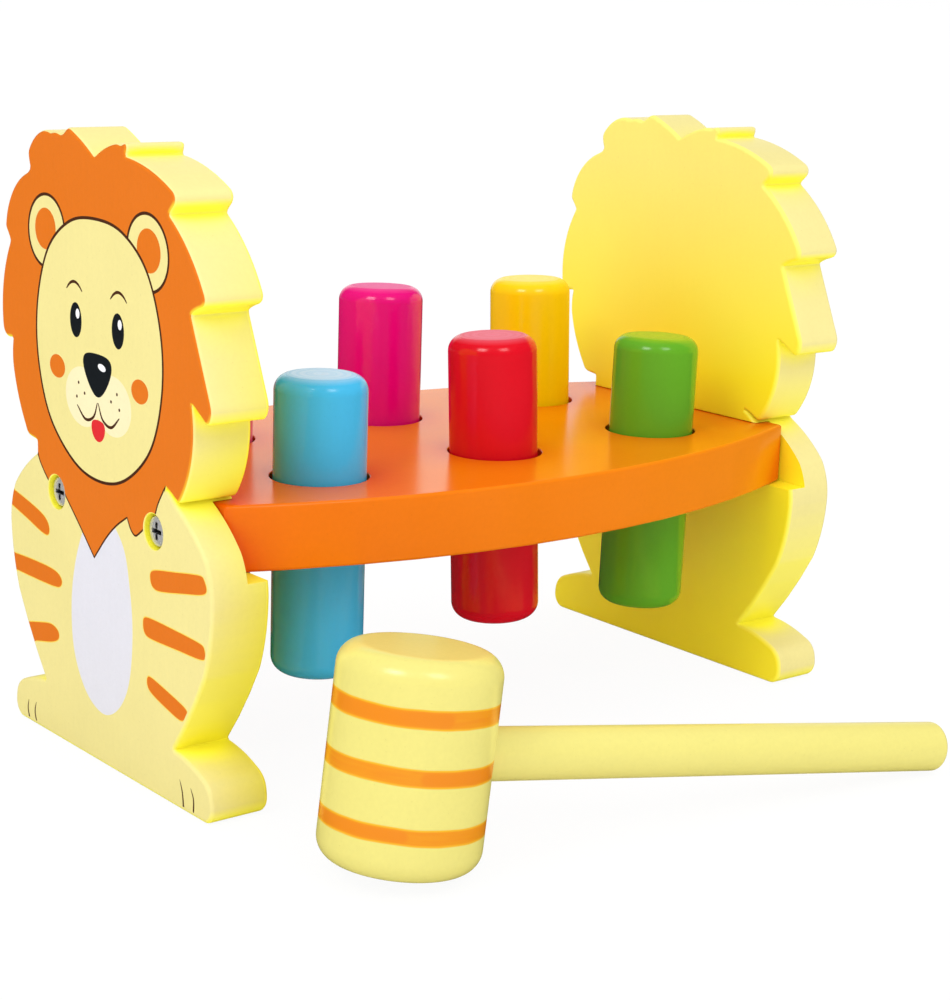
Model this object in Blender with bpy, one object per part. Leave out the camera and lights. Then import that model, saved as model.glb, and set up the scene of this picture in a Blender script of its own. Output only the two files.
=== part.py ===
"""A wooden pounding bench: two lion-shaped end panels, a plank with six pegs, and a mallet.

X runs along the bench, Y to its back and Z up. The ground is z = 0, and the origin is the middle
of the ground that the bench and the mallet in front of it take up. Lengths are in metres.
"""

import math

import bmesh
import bpy
from mathutils import Matrix, Vector

MM = 0.001
GAP = 0.3 * MM  # between pieces that touch
CUT_PAST = 1.0 * MM  # how far a cutter runs past the face that it opens

# End panels, both of one outline, with a groove across the inner face for the plank's end.
BENCH_LENGTH = 239.5 * MM
PANEL_THICKNESS = 18.5 * MM
PANEL_HEIGHT = 183.5 * MM
PANEL_WIDTH = 117.0 * MM
PANEL_EDGE_ROUND = 0.8 * MM
GROOVE_DEPTH = 7.0 * MM

# Plank, wider in the middle than at its ends.
PLANK_TOP = 86.5 * MM
PLANK_THICKNESS = 19.0 * MM
PLANK_END_WIDTH = 93.0 * MM
PLANK_MIDDLE_WIDTH = 137.5 * MM
PLANK_EDGE_ROUND = 1.2 * MM

# Peg holes, three along and two across, each with an inner groove for its friction ring.
HOLE_PITCH = 65.0 * MM
ROW_PITCH = 61.0 * MM
ROW_SHIFT = 2.0 * MM  # the rows lie this far behind the plank's middle
HOLE_CLEARANCE = 0.9 * MM
HOLE_CHAMFER = 0.4 * MM

PEG_DIAMETER = 27.2 * MM
PEG_LENGTH = 88.6 * MM
PEG_EDGE_ROUND = 4.8 * MM

RING_SECTION = 2.4 * MM

# Screws, two through each panel into the plank's end, with their heads in counterbores.
SCREW_SPACING = 56.0 * MM
SCREW_DIAMETER = 4.0 * MM
SCREW_LENGTH = 25.0 * MM
SCREW_POINT = 3.5 * MM
SCREW_HEAD_DIAMETER = 8.6 * MM
SCREW_HEAD_HEIGHT = 2.6 * MM
SCREW_RECESS_SPAN = 5.0 * MM
SCREW_RECESS_SLOT = 1.1 * MM
SCREW_RECESS_DEPTH = 1.5 * MM
COUNTERBORE_DIAMETER = 10.2 * MM
COUNTERBORE_DEPTH = 3.6 * MM

# Mallet, leaning on its head's lower rim and on the far end of its handle.
MALLET_HEAD_DIAMETER = 43.8 * MM
MALLET_HEAD_LENGTH = 58.0 * MM
MALLET_HEAD_ROUND = 6.3 * MM
HANDLE_DIAMETER = 14.6 * MM
HANDLE_REACH = 178.0 * MM  # from the head's axis to the far end
HANDLE_SEAT = 11.0 * MM  # from the head's axis to the blind end in the head
HANDLE_END_ROUND = 1.6 * MM
MALLET_X = -91.5 * MM  # from the bench's middle to the head's axis
MALLET_DISTANCE = 18.8 * MM  # from the plank's widest place to the head
MALLET_TURN = math.radians(-10.0)  # of the handle from the bench's length
MALLET_ROLL = math.radians(-2.9)  # about the handle

# Facets.
ARC_STEP = math.radians(14.0)
ROUND_STEPS = 28
SMALL_STEPS = 16
FILLET_STEPS = 3
RING_SIDES = 6
SMOOTH_ANGLE = math.radians(35.0)

PEG_RADIUS = PEG_DIAMETER / 2
HOLE_RADIUS = PEG_RADIUS + HOLE_CLEARANCE
RING_RADIUS = PEG_RADIUS + GAP + RING_SECTION / 2  # to the middle of its section
HANDLE_RADIUS = HANDLE_DIAMETER / 2
PLANK_MIDDLE_Z = PLANK_TOP - PLANK_THICKNESS / 2
PLANK_LENGTH = BENCH_LENGTH - 2 * (PANEL_THICKNESS - GROOVE_DEPTH + GAP)
HEAD_SEAT_X = BENCH_LENGTH / 2 - COUNTERBORE_DEPTH  # under a screw's head

YELLOW = (0.89, 0.80, 0.28)
ORANGE = (0.86, 0.19, 0.005)
STEEL = (0.62, 0.62, 0.64)
RUBBER = (0.03, 0.025, 0.02)

# Name, column from the left, row (0 is the front one), height of its top above the plank,
# lean to +X and to +Y in degrees, colour.
PEGS = (
    ("peg_blue", 0, 0, 29.8 * MM, 0.4, -0.2, (0.07, 0.44, 0.70)),
    ("peg_red", 1, 0, 36.0 * MM, -1.75, 1.15, (0.72, 0.004, 0.012)),
    ("peg_green", 2, 0, 30.6 * MM, 2.3, 0.6, (0.10, 0.37, 0.02)),
    ("peg_pink", 0, 1, 27.0 * MM, 2.6, 2.1, (0.80, 0.10, 0.22)),
    ("peg_magenta", 1, 1, 43.2 * MM, 1.5, 1.4, (0.76, 0.0, 0.15)),
    ("peg_yellow", 2, 1, 41.8 * MM, -0.7, 1.5, (0.90, 0.50, 0.0)),
)

# The panel's outline in millimetres as (y, z, bulge): the bulge is how far the side from this
# corner to the next stands out in its middle, as an arc. It runs from the notch in the mane's
# top down the front (-Y) side. The body and the feet are the same on both sides.
OUTLINE_WIDTH = 117.0
OUTLINE_HEIGHT = 183.5
FRONT_MANE = (
    (2.3, 176.7, 0.7),
    (-10.2, 181.2, 0.0),
    (-12.4, 180.8, 0.0),
    (-14.6, 181.7, 0.5),
    (-15.8, 180.0, 0.1),
    (-15.0, 178.1, 1.3),
    (-39.6, 171.0, 1.0),
    (-40.2, 167.0, -0.1),
    (-37.6, 164.5, 1.6),
    (-55.1, 145.5, 1.0),
    (-53.6, 141.9, -0.3),
    (-48.3, 139.5, 0.0),
    (-57.9, 117.0, 0.5),
    (-57.6, 113.0, 1.2),
    (-54.3, 112.2, 0.0),
    (-48.4, 115.7, 3.2),
    (-42.2, 88.2, 0.5),
    (-40.2, 87.9, -0.2),
    (-34.4, 90.6, 0.4),
)
BODY_SIDE = (
    (40.0, 86.7, 0.9),
    (55.0, 75.1, 1.0),
    (58.5, 62.0, 0.9),
    (54.2, 41.4, 0.7),
    (37.6, 16.4, 0.7),
    (53.0, 12.7, 1.3),
    (57.8, 6.4, 1.4),
    (54.6, 0.0, 0.0),
)
BACK_MANE = (
    (39.9, 90.4, 0.0),
    (44.3, 90.9, 0.5),
    (46.8, 92.9, 0.9),
    (54.3, 110.5, 0.5),
    (53.9, 119.3, 0.0),
    (57.4, 118.9, 0.8),
    (60.3, 122.8, 2.3),
    (54.0, 148.3, -0.1),
    (56.9, 152.0, 3.2),
    (43.0, 168.9, -0.3),
    (40.4, 170.9, 0.3),
    (41.4, 175.4, 1.0),
    (33.0, 181.6, 0.4),
    (27.3, 181.4, 0.5),
    (21.6, 181.3, -0.3),
    (18.4, 183.0, 0.5),
    (15.0, 183.2, 0.4),
)


def clear_scene():
    for obj in list(bpy.data.objects):
        bpy.data.objects.remove(obj, do_unlink=True)


def make_material(name, colour, roughness, metallic=0.0):
    material = bpy.data.materials.new(name)
    material.use_nodes = True
    shader = material.node_tree.nodes["Principled BSDF"]
    shader.inputs["Base Color"].default_value = (*colour, 1.0)
    shader.inputs["Roughness"].default_value = roughness
    shader.inputs["Metallic"].default_value = metallic
    material.diffuse_color = (*colour, 1.0)
    return material


def add_object(name, bm, material=None):
    """An object made from the bmesh, with its faces turned outwards and its round sides smooth."""
    bmesh.ops.recalc_face_normals(bm, faces=bm.faces)
    mesh = bpy.data.meshes.new(name)
    bm.to_mesh(mesh)
    bm.free()
    mesh.shade_smooth()
    mesh.set_sharp_from_angle(angle=SMOOTH_ANGLE)
    if material:
        mesh.materials.append(material)
    obj = bpy.data.objects.new(name, mesh)
    bpy.context.scene.collection.objects.link(obj)
    return obj


def add_cutter(name, bm):
    cutter = add_object(name, bm)
    cutter.hide_render = True
    cutter.display_type = "WIRE"
    return cutter


def cut(obj, cutter):
    """Takes the cutter's shape out of the object."""
    cutter.parent = obj
    boolean = obj.modifiers.new(cutter.name, "BOOLEAN")
    boolean.operation = "DIFFERENCE"
    boolean.solver = "EXACT"
    boolean.object = cutter


def arc_points(start, end, bulge):
    """Points of an arc from start up to, not with, its end. A positive bulge is to the right of the way."""
    chord = end - start
    if abs(bulge) < GAP / 10:
        return [start]
    along = chord.normalized()
    outward = Vector((along.y, -along.x))
    half_angle = 2 * math.atan(2 * abs(bulge) / chord.length)
    radius = chord.length / (2 * math.sin(half_angle))
    count = max(2, math.ceil(2 * half_angle / ARC_STEP))
    points = []
    for step in range(count):
        angle = half_angle * (2 * step / count - 1)
        out = math.copysign(radius * (math.cos(angle) - math.cos(half_angle)), bulge)
        points.append((start + end) / 2 + along * radius * math.sin(angle) + outward * out)
    return points


def closed_outline(corners):
    """All points of a closed outline of arcs, from its (point, bulge) corners."""
    points = []
    for (start, bulge), (end, _) in zip(corners, corners[1:] + corners[:1]):
        points += arc_points(start, end, bulge)
    return points


def panel_outline():
    front_body = [(-y, z, bulge) for y, z, bulge in BODY_SIDE]
    back_points = [(y, z) for y, z, _ in reversed(BODY_SIDE)]
    back_bulges = [bulge for _, _, bulge in reversed(BODY_SIDE[:-1])] + [0.0]
    back_body = [(y, z, bulge) for (y, z), bulge in zip(back_points, back_bulges)]
    wide = PANEL_WIDTH / OUTLINE_WIDTH
    high = PANEL_HEIGHT / OUTLINE_HEIGHT
    corners = [*FRONT_MANE, *front_body, *back_body, *BACK_MANE]
    return closed_outline([(Vector((y * wide, z * high)), bulge * wide) for y, z, bulge in corners])


def prism(points, place, rise, edge_round):
    """A bmesh of the outline raised by a vector, with the edges of both its faces bevelled."""
    bm = bmesh.new()
    face = bm.faces.new([bm.verts.new(place(point)) for point in points])
    raised = bmesh.ops.extrude_face_region(bm, geom=[face])["geom"]
    bmesh.ops.translate(bm, vec=rise, verts=[item for item in raised if isinstance(item, bmesh.types.BMVert)])
    ends = [item for item in bm.faces if len(item.verts) > 4]
    rims = {edge for end in ends for edge in end.edges}
    if edge_round:
        bmesh.ops.bevel(bm, geom=list(rims), offset=edge_round, segments=1, affect="EDGES", clamp_overlap=True)
    return bm


def turned(profile, steps, closed=False):
    """A bmesh turned about Z from (radius, height) points. A closed profile is a ring's section."""
    bm = bmesh.new()
    circles = []
    for radius, height in profile:
        turns = [math.tau * step / steps for step in range(steps)]
        circles.append([bm.verts.new((radius * math.cos(t), radius * math.sin(t), height)) for t in turns])
    pairs = list(zip(circles, circles[1:]))
    if closed:
        pairs.append((circles[-1], circles[0]))
    for lower, upper in pairs:
        for step in range(steps):
            after = (step + 1) % steps
            bm.faces.new((lower[step], lower[after], upper[after], upper[step]))
    if not closed:
        bm.faces.new(circles[0])
        bm.faces.new(circles[-1])
    return bm


def rounded_profile(radius, bottom, top, bottom_round, top_round):
    """A turned profile of a straight side with a quarter round at each end."""
    profile = []
    for step in range(FILLET_STEPS + 1):
        angle = math.pi / 2 * step / FILLET_STEPS
        inset = bottom_round * (1 - math.sin(angle))
        profile.append((radius - inset, bottom + bottom_round * (1 - math.cos(angle))))
    for step in range(FILLET_STEPS + 1):
        angle = math.pi / 2 * step / FILLET_STEPS
        inset = top_round * (1 - math.cos(angle))
        profile.append((radius - inset, top - top_round * (1 - math.sin(angle))))
    return profile


def box(low, high):
    bm = bmesh.new()
    low, high = Vector(low), Vector(high)
    middle = Matrix.Translation((low + high) / 2)
    bmesh.ops.create_cube(bm, size=1.0, matrix=middle @ Matrix.Diagonal((*(high - low), 1.0)))
    return bm


def screw_rows():
    return (-SCREW_SPACING / 2, SCREW_SPACING / 2)


def hole_place(column, row):
    """Middle of a peg hole, at half the plank's thickness."""
    return Vector(((column - 1) * HOLE_PITCH, (row - 0.5) * ROW_PITCH + ROW_SHIFT, PLANK_MIDDLE_Z))


def add_panel(name, side, bench, material):
    """An end panel at x = side * half the length. Its groove takes the plank's end."""
    outer = side * BENCH_LENGTH / 2
    bm = prism(
        panel_outline(),
        lambda point: Vector((outer, point.x, point.y)),
        Vector((-side * PANEL_THICKNESS, 0.0, 0.0)),
        PANEL_EDGE_ROUND,
    )
    panel = add_object(name, bm, material)
    panel.parent = bench
    floor = outer - side * (PANEL_THICKNESS - GROOVE_DEPTH)
    mouth = outer - side * (PANEL_THICKNESS + CUT_PAST)
    groove = box(
        (min(floor, mouth), -PANEL_WIDTH, PLANK_TOP - PLANK_THICKNESS - GAP),
        (max(floor, mouth), PANEL_WIDTH, PLANK_TOP + GAP),
    )
    cut(panel, add_cutter(f"{name}_groove", groove))
    bore = COUNTERBORE_DIAMETER / 2
    shank = SCREW_DIAMETER / 2 + GAP
    profile = (
        (shank, -PANEL_THICKNESS),
        (shank, -COUNTERBORE_DEPTH),
        (bore, -COUNTERBORE_DEPTH),
        (bore, CUT_PAST),
    )
    for number, y in enumerate(screw_rows()):
        cutter = add_cutter(f"{name}_screw_hole_{number}", turned(profile, SMALL_STEPS))
        cutter.location = (outer, y, PLANK_MIDDLE_Z)
        cutter.rotation_euler = (0.0, side * math.pi / 2, 0.0)
        cut(panel, cutter)


def hole_profile():
    """A peg hole with chamfered mouths and the friction ring's groove halfway down."""
    half = PLANK_THICKNESS / 2
    groove_radius = RING_RADIUS + RING_SECTION / 2 + GAP
    groove_half = RING_SECTION / 2 + GAP
    mouth = (HOLE_RADIUS + HOLE_CHAMFER + CUT_PAST, half + CUT_PAST)
    lip = (HOLE_RADIUS, half - HOLE_CHAMFER)
    rising = [(HOLE_RADIUS, groove_half), lip, mouth]
    falling = [(radius, -height) for radius, height in reversed(rising)]
    return [*falling, (groove_radius, -groove_half), (groove_radius, groove_half), *rising]


def add_plank(bench, material):
    half_length = PLANK_LENGTH / 2
    half_end = PLANK_END_WIDTH / 2
    bulge = (PLANK_MIDDLE_WIDTH - PLANK_END_WIDTH) / 2
    corners = [
        (Vector((half_length, -half_end)), 0.0),
        (Vector((half_length, half_end)), bulge),
        (Vector((-half_length, half_end)), 0.0),
        (Vector((-half_length, -half_end)), bulge),
    ]
    outline = closed_outline(corners)
    low = PLANK_TOP - PLANK_THICKNESS
    bm = prism(
        outline,
        lambda point: Vector((point.x, point.y, low)),
        Vector((0.0, 0.0, PLANK_THICKNESS)),
        PLANK_EDGE_ROUND,
    )
    plank = add_object("plank", bm, material)
    plank.parent = bench
    for name, column, row, *_ in PEGS:
        cutter = add_cutter(f"{name}_hole", turned(hole_profile(), ROUND_STEPS))
        cutter.location = hole_place(column, row)
        cut(plank, cutter)
    shank = SCREW_DIAMETER / 2 + GAP
    pilot_end = HEAD_SEAT_X - SCREW_LENGTH - GAP
    profile = ((shank, pilot_end), (shank, half_length + CUT_PAST))
    for side in (-1, 1):
        for number, y in enumerate(screw_rows()):
            cutter = add_cutter(f"pilot_{side}_{number}", turned(profile, SMALL_STEPS))
            cutter.location = (0.0, y, PLANK_MIDDLE_Z)
            cutter.rotation_euler = (0.0, side * math.pi / 2, 0.0)
            cut(plank, cutter)


def add_pegs(bench):
    """Each peg turns on its own axis through the middle of its hole, a little off upright."""
    profile_z = -PEG_LENGTH / 2
    profile = rounded_profile(PEG_RADIUS, profile_z, -profile_z, PEG_EDGE_ROUND, PEG_EDGE_ROUND)
    for name, column, row, proud, lean_x, lean_y, colour in PEGS:
        material = make_material(name, colour, 0.3)
        peg = add_object(name, turned(profile, ROUND_STEPS), material)
        slide = Matrix.Translation((0.0, 0.0, PLANK_THICKNESS / 2 + proud - PEG_LENGTH / 2))
        peg.data.transform(slide)
        peg.location = hole_place(column, row)
        peg.rotation_euler = (math.radians(-lean_y), math.radians(lean_x), 0.0)
        peg.parent = bench


def add_rings(bench, material):
    """A rubber ring in the groove of each hole, which grips the peg."""
    section = RING_SECTION / 2 / math.cos(math.pi / RING_SIDES)
    profile = []
    for side in range(RING_SIDES):
        angle = math.tau * (side + 0.5) / RING_SIDES
        profile.append((RING_RADIUS + section * math.cos(angle), section * math.sin(angle)))
    for name, column, row, *_ in PEGS:
        ring_name = name.replace("peg", "friction_ring")
        ring = add_object(ring_name, turned(profile, ROUND_STEPS, closed=True), material)
        ring.location = hole_place(column, row)
        ring.parent = bench


def screw_profile():
    radius = SCREW_DIAMETER / 2
    head = SCREW_HEAD_DIAMETER / 2
    return (
        (radius / 5, -SCREW_LENGTH),
        (radius, SCREW_POINT - SCREW_LENGTH),
        (radius, GAP),
        (head, GAP),
        (head, SCREW_HEAD_HEIGHT / 2),
        (head * 0.9, SCREW_HEAD_HEIGHT * 0.8),
        (head * 0.7, SCREW_HEAD_HEIGHT),
    )


def cross_recess():
    """A cross-shaped cutter for a screw's head, from the floor of the recess to above the head."""
    half_span = SCREW_RECESS_SPAN / 2
    half_slot = SCREW_RECESS_SLOT / 2
    points = []
    for quarter in range(4):
        turn = Matrix.Rotation(quarter * math.pi / 2, 2)
        for corner in ((half_span, -half_slot), (half_span, half_slot), (half_slot, half_slot)):
            points.append(turn @ Vector(corner))
    floor = SCREW_HEAD_HEIGHT - SCREW_RECESS_DEPTH
    rise = Vector((0.0, 0.0, SCREW_RECESS_DEPTH + CUT_PAST))
    return prism(points, lambda point: Vector((point.x, point.y, floor)), rise, 0.0)


def add_screws(bench, material):
    for side, side_name in ((-1, "left"), (1, "right")):
        for y, row_name in zip(screw_rows(), ("front", "back")):
            name = f"screw_{side_name}_{row_name}"
            screw = add_object(name, turned(screw_profile(), SMALL_STEPS), material)
            cut(screw, add_cutter(f"{name}_recess", cross_recess()))
            screw.location = (side * HEAD_SEAT_X, y, PLANK_MIDDLE_Z)
            screw.rotation_euler = (0.0, side * math.pi / 2, 0.0)
            screw.parent = bench


def mallet_dip():
    """Angle at which the head's lower rim and the handle's far end both reach the ground."""
    run = HANDLE_REACH - HANDLE_END_ROUND - MALLET_HEAD_DIAMETER / 2 + MALLET_HEAD_ROUND
    drop = MALLET_HEAD_LENGTH / 2 - MALLET_HEAD_ROUND - HANDLE_RADIUS + HANDLE_END_ROUND
    rounds = MALLET_HEAD_ROUND - HANDLE_END_ROUND
    return math.atan2(drop, run) + math.asin(rounds / math.hypot(run, drop))


def mallet_height():
    """Height of the head's middle as its lower rim rests on the ground."""
    upright = math.cos(mallet_dip()) * math.cos(MALLET_ROLL)
    rim = MALLET_HEAD_DIAMETER / 2 - MALLET_HEAD_ROUND
    straight = MALLET_HEAD_LENGTH / 2 - MALLET_HEAD_ROUND
    return straight * upright + rim * math.sqrt(1 - upright**2) + MALLET_HEAD_ROUND


def mallet_y():
    return -(PLANK_MIDDLE_WIDTH / 2 + MALLET_DISTANCE + MALLET_HEAD_DIAMETER / 2)


def add_mallet(bench, material):
    """The head about its own Z, the handle along its X, both in a pose held by an empty."""
    pose = bpy.data.objects.new("mallet_pose", None)
    bpy.context.scene.collection.objects.link(pose)
    pose.parent = bench
    pose.rotation_mode = "ZYX"
    pose.location = (MALLET_X, mallet_y(), mallet_height())
    turn = Matrix.Rotation(MALLET_TURN, 4, "Z")
    dip = Matrix.Rotation(mallet_dip(), 4, "Y")
    roll = Matrix.Rotation(MALLET_ROLL, 4, "X")
    pose.rotation_euler = (turn @ dip @ roll).to_euler("ZYX")

    half = MALLET_HEAD_LENGTH / 2
    head_radius = MALLET_HEAD_DIAMETER / 2
    profile = rounded_profile(head_radius, -half, half, MALLET_HEAD_ROUND, MALLET_HEAD_ROUND)
    head = add_object("mallet_head", turned(profile, ROUND_STEPS), material)
    head.parent = pose
    bore_radius = HANDLE_RADIUS + GAP
    bore_profile = ((bore_radius, -HANDLE_SEAT - GAP), (bore_radius, head_radius + CUT_PAST))
    bore = add_cutter("mallet_head_bore", turned(bore_profile, SMALL_STEPS))
    bore.rotation_euler = (0.0, math.pi / 2, 0.0)
    cut(head, bore)

    profile = rounded_profile(HANDLE_RADIUS, -HANDLE_SEAT, HANDLE_REACH, GAP, HANDLE_END_ROUND)
    handle = add_object("mallet_handle", turned(profile, SMALL_STEPS), material)
    handle.rotation_euler = (0.0, math.pi / 2, 0.0)
    handle.parent = pose


def ground_middle_y():
    """Middle of the ground from the handle's far end at the front to the plank's back."""
    slope = math.cos(mallet_dip()) * math.sin(MALLET_TURN)
    end = mallet_y() + (HANDLE_REACH - HANDLE_END_ROUND) * slope
    front = end - HANDLE_RADIUS * math.sqrt(1 - slope**2)
    return (front + PLANK_MIDDLE_WIDTH / 2) / 2


def main():
    clear_scene()
    bench = bpy.data.objects.new("bench", None)
    bpy.context.scene.collection.objects.link(bench)
    bench.location = (0.0, -ground_middle_y(), 0.0)
    yellow = make_material("yellow_lacquer", YELLOW, 0.35)
    orange = make_material("orange_lacquer", ORANGE, 0.35)
    steel = make_material("steel", STEEL, 0.3, 1.0)
    rubber = make_material("rubber", RUBBER, 0.7)
    add_panel("panel_left", -1, bench, yellow)
    add_panel("panel_right", 1, bench, yellow)
    add_plank(bench, orange)
    add_pegs(bench)
    add_rings(bench, rubber)
    add_screws(bench, steel)
    add_mallet(bench, yellow)


main()
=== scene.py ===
"""The look of the pounding bench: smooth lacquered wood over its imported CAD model.

Shapes are made in millimetres and put in place in metres. The bench runs along X between its two
end panels. Print on a panel is drawn as (y, z) points, y from the bench's middle to its back.
"""

import math

import bmesh
import bpy
import numpy as np
from bpy.props import FloatProperty, FloatVectorProperty, PointerProperty
from mathutils import Euler, Matrix, Vector
from mathutils.geometry import delaunay_2d_cdt


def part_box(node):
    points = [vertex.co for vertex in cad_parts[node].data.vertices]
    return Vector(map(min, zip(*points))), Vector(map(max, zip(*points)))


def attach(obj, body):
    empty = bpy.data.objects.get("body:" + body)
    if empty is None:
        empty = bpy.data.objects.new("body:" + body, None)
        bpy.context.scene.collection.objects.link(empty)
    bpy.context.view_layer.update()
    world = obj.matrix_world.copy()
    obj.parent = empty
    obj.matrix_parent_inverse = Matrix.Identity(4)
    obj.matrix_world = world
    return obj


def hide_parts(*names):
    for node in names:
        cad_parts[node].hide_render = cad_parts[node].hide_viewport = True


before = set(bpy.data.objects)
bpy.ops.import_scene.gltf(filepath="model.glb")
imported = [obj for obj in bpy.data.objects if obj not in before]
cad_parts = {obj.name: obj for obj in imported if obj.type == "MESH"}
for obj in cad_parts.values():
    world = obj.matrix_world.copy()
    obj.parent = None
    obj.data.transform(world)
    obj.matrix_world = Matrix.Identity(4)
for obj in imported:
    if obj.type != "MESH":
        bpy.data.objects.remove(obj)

bl_info = {
    "name": "Pounding Bench",
    "version": (1, 0, 0),
    "blender": (4, 5, 0),
    "location": "3D View > Sidebar > Bench",
    "description": "Builds the lacquered pieces of a wooden pounding bench over its CAD model",
    "category": "Object",
}

MM = 0.001


def extent(node):
    """Lowest and highest corner of a CAD node in millimetres."""
    low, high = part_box(node)
    return low / MM, high / MM


PANEL_LOW, PANEL_HIGH = extent("panel_left")
PLANK_LOW, PLANK_HIGH = extent("plank")
OUTER_X = -PANEL_LOW.x
PANEL_THICKNESS = PANEL_HIGH.x - PANEL_LOW.x
BENCH_Y = (PLANK_LOW.y + PLANK_HIGH.y) / 2
PLANK_BOTTOM = PLANK_LOW.z
PLANK_TOP = PLANK_HIGH.z
PLANK_MIDDLE_Z = (PLANK_BOTTOM + PLANK_TOP) / 2
PLANK_HALF_LENGTH = PLANK_HIGH.x
PLANK_HALF_WIDTH = (PLANK_HIGH.y - PLANK_LOW.y) / 2
PLANK_HALF_END = 46.5

# The wood left behind the groove, the groove's play round the plank, and the round of its mouth,
# which turns this many degrees and then flares outwards.
GROOVE_WALL = 11.5
GROOVE_FLOOR_X = OUTER_X - GROOVE_WALL
GROOVE_CLEAR = 0.12
MOUTH_ROUND = 0.35
MOUTH_TURN = 78.0
MOUTH_FLARE = 0.2 / math.tan(math.radians(12.0))
# How far the inner face's yellow, with its painted bounce light, reaches round the panel's edge.
INNER_EDGE = 1.2

HOLE_PITCH = 65.0
ROW_PITCH = 61.0
ROW_SHIFT = 2.0
HOLE_RADIUS = 14.5
RING_GROOVE_RADIUS = 16.6
RING_GROOVE_HALF = 1.5
RING_RADIUS = 15.1
RING_SECTION = 1.2

PEG_RADIUS = 13.6
PEG_LENGTH = 88.6
PEG_ROUND = 4.8

SCREW_SPACING = 56.0
SCREW_LENGTH = 25.0
SCREW_HEAD = 4.3
SHANK_RADIUS = 2.0
COUNTERBORE_RADIUS = 5.1
COUNTERBORE_DEPTH = 3.6
SCREW_SEAT_X = OUTER_X - COUNTERBORE_DEPTH

HEAD_RADIUS = 21.9
HEAD_HALF = 29.0
HEAD_ROUND = 6.3
# Each band's height on the head, share of the band width, and the turn in degrees, from the side
# away from the handle, over which its paint lies double.
BANDS = (
    (14.7, 1.06, -60.0, 84.0),
    (-0.4, 1.0, 75.0, 150.0),
    (-15.8, 0.92, -100.0, 62.0),
)
HANDLE_RADIUS = 7.3
HANDLE_REACH = 178.0
HANDLE_SEAT = 11.0
HANDLE_ROUND = 1.6
MALLET_PLACE = Vector((-91.5, -70.327, 30.998))
MALLET_HEAD_AXIS = Vector((0.140577, 0.026586, 0.989713))
MALLET_HANDLE_AXIS = Vector((0.975927, -0.172082, -0.133997))

# Colour, column from the left, row (0 is the front one), height above the plank, and lean to +X and
# to +Y in degrees.
PEGS = (
    ("blue", 0, 0, 29.8, 0.4, -0.2),
    ("red", 1, 0, 36.0, -1.75, 1.15),
    ("green", 2, 0, 30.6, 2.3, 0.6),
    ("pink", 0, 1, 27.0, 2.6, 2.1),
    ("magenta", 1, 1, 43.2, 1.5, 1.4),
    ("yellow", 2, 1, 41.8, -0.7, 1.5),
)

# The paler colour of each peg's end faces, and how much of it shows: partly a thinner coat, partly a
# painted reflection of the bright studio.
PEG_ENDS_AND_REFLECTION = {
    "blue": ((0.53, 0.66, 0.80), 0.9),
    "red": ((0.76, 0.18, 0.25), 0.85),
    "green": ((0.45, 0.54, 0.0), 0.9),
    "pink": ((0.80, 0.26, 0.38), 0.85),
    "magenta": ((0.76, 0.15, 0.34), 0.85),
    "yellow": ((0.89, 0.74, 0.22), 0.85),
}

# The panel's outline as (y, z, bulge), as in the CAD source: the bulge is how far the side from
# this corner to the next stands out in its middle. It runs from the top notch down the front.
FRONT_MANE = (
    (2.3, 176.7, 0.7), (-10.2, 181.2, 0.0), (-12.4, 180.8, 0.0), (-14.6, 181.7, 0.5),
    (-15.8, 180.0, 0.1), (-15.0, 178.1, 1.3), (-39.6, 171.0, 1.0), (-40.2, 167.0, -0.1),
    (-37.6, 164.5, 1.6), (-55.1, 145.5, 1.0), (-53.6, 141.9, -0.3), (-48.3, 139.5, 0.0),
    (-57.9, 117.0, 0.5), (-57.6, 113.0, 1.2), (-54.3, 112.2, 0.0), (-48.4, 115.7, 3.2),
    (-42.2, 88.2, 0.5), (-40.2, 87.9, -0.2), (-34.4, 90.6, 0.4),
)
BODY_SIDE = (
    (40.0, 86.7, 0.9), (55.0, 75.1, 1.0), (58.5, 62.0, 0.9), (54.2, 41.4, 0.7), (37.6, 16.4, 0.7),
    (53.0, 12.7, 1.3), (57.8, 6.4, 1.4), (54.6, 0.0, 0.0),
)
BACK_MANE = (
    (39.9, 90.4, 0.0), (44.3, 90.9, 0.5), (46.8, 92.9, 0.9), (54.3, 110.5, 0.5), (53.9, 119.3, 0.0),
    (57.4, 118.9, 0.8), (60.3, 122.8, 2.3), (54.0, 148.3, -0.1), (56.9, 152.0, 3.2),
    (43.0, 168.9, -0.3), (40.4, 170.9, 0.3), (41.4, 175.4, 1.0), (33.0, 181.6, 0.4), (27.3, 181.4, 0.5),
    (21.6, 181.3, -0.3), (18.4, 183.0, 0.5), (15.0, 183.2, 0.4),
)

# Print on the panels' outer faces. The mane's lower edge goes from back to front, in runs from one
# pointed tip or notch to the next, and the mane lies above it, past the panel's edges.
HEM_LOCKS = (
    ((39.9, 89.0), (38.4, 85.5), (36.1, 82.8), (33.7, 80.6), (29.5, 77.2)),
    ((29.5, 77.2), (26.0, 76.2), (23.2, 77.9)),
    ((23.2, 77.9), (14.3, 70.2), (5.6, 62.2)),
    ((5.6, 62.2), (-1.5, 69.5), (-7.4, 74.3), (-13.7, 78.1)),
    ((-13.7, 78.1), (-15.8, 75.0), (-18.0, 73.8), (-19.9, 74.6), (-24.0, 77.5)),
    ((-24.0, 77.5), (-28.4, 81.0), (-30.8, 85.5), (-34.4, 90.6)),
)
ABOVE_HEM = ((-40.1, 87.3), (-200.0, 87.3), (-200.0, 300.0), (200.0, 300.0), (200.0, 88.8))
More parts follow.
